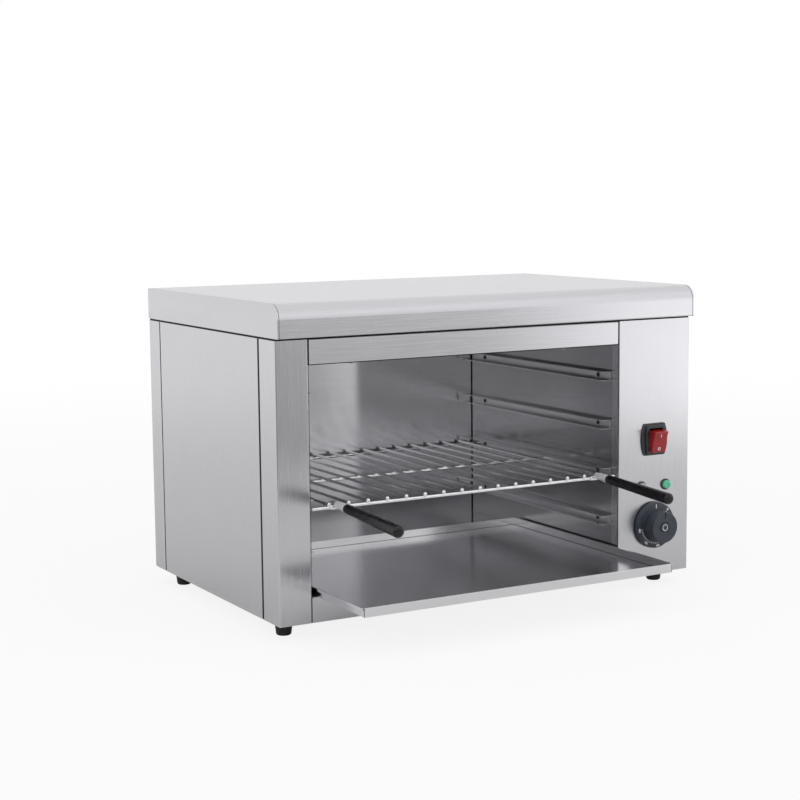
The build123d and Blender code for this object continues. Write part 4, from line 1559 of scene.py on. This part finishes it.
@dataclass
class Studio:
    """A pale floor, soft lamps, cards for the metal to reflect, and the camera, in metres.

    The camera's numbers come from the corners of the case in the photograph.
    """

    focal_px: float = 1717.4
    picture_px: float = 800.0
    sensor_mm: float = 36.0
    yaw: float = 0.5131
    pitch: float = 0.1236
    roll: float = -0.0100
    eye: Triple = (-1.1346, -1.9009, 0.5288)
    aim: Triple = (0.0, 0.05, 0.2)
    lamps: tuple[SoftBox, ...] = (
        SoftBox("key_soft_box", (1.1, -1.3, 1.9), (2.8, 2.2), 17.0),
        SoftBox("fill_soft_box", (-1.9, -0.6, 1.4), (1.6, 1.4), 8.0, mirrored=True),
        SoftBox("top_soft_box", (0.0, 0.4, 2.2), (2.2, 1.8), 8.0),
    )
    world_light: float = 0.75
    floor_half: float = 12.0
    floor_fade: Pair = (0.7, 3.0)
    # The least glow of the floor, to the eye and in the metal
    floor_lift: float = 0.86
    floor_glint: float = 0.14
    card_radius: float = 1.25
    card_foot: float = 0.002
    card_height: float = 1.5
    card_steps: tuple[int, int] = (34, 10)
    # Angle from the front in degrees, towards the right, and brightness
    card_stops: tuple[Pair, ...] = (
        (-100, 0.9),
        (-75, 0.36),
        (4, 0.36),
        (13, 0.56),
        (28, 0.6),
        (38, 1.3),
        (44, 1.6),
        (70, 1.4),
    )
    # Heights between which the card takes its upper colour
    card_rise: Pair = (0.21, 0.6)
    card_top: tuple[float, float, float, float] = (1.12, 1.12, 1.13, 1.0)
    # Height under which the card dims, and how far
    card_dim: Pair = (0.14, 0.55)
    back_card_ends: tuple[Pair, Pair] = ((-0.6, 3.4), (3.6, 2.4))
    back_card_span: Pair = (0.42, 1.9)
    back_card_light: float = 0.95

    def camera(self) -> None:
        """Places the camera where the photograph was taken from."""
        data = bpy.data.cameras.new("photo_camera")
        data.sensor_width = self.sensor_mm
        data.lens = self.sensor_mm * self.focal_px / self.picture_px
        data.clip_end = 100.0
        camera = link_object("photo_camera", data)
        side = Vector((math.cos(self.yaw), -math.sin(self.yaw), 0.0))
        level = Vector((math.sin(self.yaw), math.cos(self.yaw), 0.0))
        ahead = level * math.cos(self.pitch) - UP * math.sin(self.pitch)
        above = side.cross(ahead)
        right = side * math.cos(self.roll) + above * math.sin(self.roll)
        up = above * math.cos(self.roll) - side * math.sin(self.roll)
        turn = Matrix((right, up, -ahead)).transposed()
        camera.matrix_world = Matrix.Translation(self.eye) @ turn.to_4x4()
        bpy.context.scene.camera = camera

    def sheet(
        self,
        name: str,
        points: Sequence[Triple],
        faces: Sequence[Face],
        material: Material,
        only_mirrored: bool = True,
    ) -> None:
        """Adds the floor or a card to the scene.

        Args:
            name: Its name.
            points: Its points, in metres.
            faces: Its faces.
            material: Its material.
            only_mirrored: Whether glossy rays alone see it.
        """
        mesh = bpy.data.meshes.new(name)
        mesh.from_pydata(points, [], faces)
        mesh.materials.append(material)
        thing = link_object(name, mesh)
        if only_mirrored:
            thing.visible_camera = False
            thing.visible_diffuse = False
            thing.visible_shadow = False
            thing.visible_transmission = False

    def floor(self) -> None:
        """A white floor that keeps the shadow near the object and fades into the backdrop."""
        material, tree = new_material("studio_paper_white")
        place = add_node(tree, "ShaderNodeTexCoord").outputs["Object"]
        away = add_node(tree, "ShaderNodeVectorMath", {0: place}, operation="LENGTH")
        near, far = self.floor_fade
        span = {"Value": away.outputs["Value"], "From Min": near, "From Max": far}
        fade = add_node(tree, "ShaderNodeMapRange", span, interpolation_type="SMOOTHSTEP")
        path = add_node(tree, "ShaderNodeLightPath").outputs
        rays = {0: path["Is Glossy Ray"], 1: path["Is Transmission Ray"]}
        mirrored = add_node(tree, "ShaderNodeMath", rays, operation="MAXIMUM").outputs[0]
        by_eye, by_metal = (
            add_node(tree, "ShaderNodeMapRange", {"Value": fade.outputs[0], "To Min": least})
            for least in (self.floor_lift, self.floor_glint)
        )
        seen = {0: by_eye.outputs[0], 1: path["Is Camera Ray"]}
        direct = add_node(tree, "ShaderNodeMath", seen, operation="MULTIPLY").outputs[0]
        parts = {0: by_metal.outputs[0], 1: mirrored, 2: direct}
        share = add_node(tree, "ShaderNodeMath", parts, operation="MULTIPLY_ADD").outputs[0]
        dull = {"Color": linear("DADADA"), "Roughness": 0.5}
        paper = add_node(tree, "ShaderNodeBsdfDiffuse", dull).outputs[0]
        glow = add_node(tree, "ShaderNodeEmission", {"Color": linear("FFFFFF")}).outputs[0]
        shader = add_node(tree, "ShaderNodeMixShader", {0: share, 1: paper, 2: glow})
        close_material(material, shader.outputs[0], "F4F4F4")
        half = self.floor_half
        corners = [(-half, -half, 0), (half, -half, 0), (half, half, 0), (-half, half, 0)]
        self.sheet("studio_floor", corners, [(0, 1, 2, 3)], material, only_mirrored=False)

    def world(self) -> None:
        """A white backdrop for the eye, metal and glass, and an even light for the rest."""
        world = bpy.data.worlds.new("studio_backdrop")
        bpy.context.scene.world = world
        world.use_nodes = True
        tree = world.node_tree
        tree.nodes.clear()
        path = add_node(tree, "ShaderNodeLightPath").outputs
        seen = path["Is Camera Ray"]
        for ray in ("Is Glossy Ray", "Is Transmission Ray"):
            both = {0: seen, 1: path[ray]}
            seen = add_node(tree, "ShaderNodeMath", both, operation="MAXIMUM").outputs[0]
        light = {"Value": seen, "To Min": self.world_light}
        strength = add_node(tree, "ShaderNodeMapRange", light).outputs[0]
        sky = {"Color": linear("FFFFFF"), "Strength": strength}
        background = add_node(tree, "ShaderNodeBackground", sky)
        add_node(tree, "ShaderNodeOutputWorld", {"Surface": background.outputs[0]})

    def lamp(self, box: SoftBox) -> None:
        """Hangs a soft box so that it looks at the object.

        Args:
            box: What it is like.
        """
        data = bpy.data.lights.new(box.name, "AREA")
        data.shape = "RECTANGLE"
        data.size, data.size_y = box.size
        data.energy = box.watts
        lamp = link_object(box.name, data)
        lamp.location = box.place
        lamp.rotation_mode = "QUATERNION"
        way = Vector(self.aim) - Vector(box.place)
        lamp.rotation_quaternion = way.to_track_quat("-Z", "Y")
        lamp.visible_glossy = box.mirrored

    def card_material(self) -> Material:
        """Grades the card by the angle round the object and by height.

        Returns:
            The glowing material.
        """
        start, end = self.card_stops[0][0], self.card_stops[-1][0]
        material, tree = new_material("studio_card_graded")
        place = add_node(tree, "ShaderNodeTexCoord").outputs["Object"]
        split = add_node(tree, "ShaderNodeSeparateXYZ", {0: place}).outputs
        back = {0: split["Y"], 1: -1.0}
        ahead = add_node(tree, "ShaderNodeMath", back, operation="MULTIPLY").outputs[0]
        flat = {0: split["X"], 1: ahead}
        angle = add_node(tree, "ShaderNodeMath", flat, operation="ARCTAN2").outputs[0]
        span = {"From Min": math.radians(start), "From Max": math.radians(end)}
        turned = add_node(tree, "ShaderNodeMapRange", {"Value": angle, **span})
        ramp = add_node(tree, "ShaderNodeValToRGB", {"Fac": turned.outputs[0]})
        elements = ramp.color_ramp.elements
        for index, (degrees, level) in enumerate(self.card_stops):
            position = (degrees - start) / (end - start)
            element = elements[index] if index < 2 else elements.new(position)
            element.position = position
            element.color = (level, level, level, 1.0)
        low, high = self.card_rise
        climb = {"Value": split["Z"], "From Min": low, "From Max": high}
        rise = add_node(tree, "ShaderNodeMapRange", climb, interpolation_type="SMOOTHSTEP")
        shades = {0: rise.outputs[0], 6: ramp.outputs[0], 7: self.card_top}
        shade = add_node(tree, "ShaderNodeMix", shades, data_type="RGBA")
        height, least = self.card_dim
        foot = {"Value": split["Z"], "From Max": height, "To Min": least}
        dim = add_node(tree, "ShaderNodeMapRange", foot, interpolation_type="SMOOTHSTEP")
        light = {"Color": shade.outputs[2], "Strength": dim.outputs[0]}
        glow = add_node(tree, "ShaderNodeEmission", light)
        close_material(material, glow.outputs[0], "808080")
        return material

    def grey_card(self) -> None:
        """A curved card in front, which only the metal sees.

        It is dark at the front left and fades to white at the right, so that the sheets
        take the tones that a studio gives them.
        """
        start, end = self.card_stops[0][0], self.card_stops[-1][0]
        steps, levels = self.card_steps
        verts: list[Triple] = []
        for level in range(levels + 1):
            z = self.card_foot + self.card_height * level / levels
            for step in range(steps + 1):
                angle = math.radians(start + (end - start) * step / steps)
                x, y = self.card_radius * math.sin(angle), -self.card_radius * math.cos(angle)
                verts.append((x, y, z))
        row = steps + 1
        faces = [
            (b * row + a, b * row + a + 1, (b + 1) * row + a + 1, (b + 1) * row + a)
            for b in range(levels)
            for a in range(steps)
        ]
        self.sheet("studio_card", verts, faces, self.card_material())

    def back_card(self) -> None:
        """A low bright card behind the object, for the top's shallow reflection."""
        material, tree = new_material("studio_card_bright")
        light = {"Color": linear("FFFFFF"), "Strength": self.back_card_light}
        glow = add_node(tree, "ShaderNodeEmission", light)
        close_material(material, glow.outputs[0], "FFFFFF")
        left, right = self.back_card_ends
        low, high = self.back_card_span
        corners = [(*left, low), (*right, low), (*right, high), (*left, high)]
        self.sheet("studio_back_card", corners, [(0, 1, 2, 3)], material)

    def build(self) -> None:
        """Sets up the whole studio."""
        bpy.context.scene.view_settings.view_transform = "Standard"
        self.camera()
        self.world()
        self.floor()
        self.grey_card()
        for box in self.lamps:
            self.lamp(box)
        self.back_card()


def main() -> None:
    """Builds the studio and dresses the object, one sub-assembly after the other."""
    logging.basicConfig(level=logging.INFO, format="%(name)s: %(message)s")
    Studio().build()
    materials = dress_nodes()
    for assembly in (
        Rack(materials),
        DripTray(materials),
        Thermostat(materials),
        RockerSwitch(materials),
        PilotLamps(materials),
        Rivets(materials),
        Seams(materials),
        RearFittings(materials),
    ):
        assembly.build()


if __name__ == "__main__":
    main()
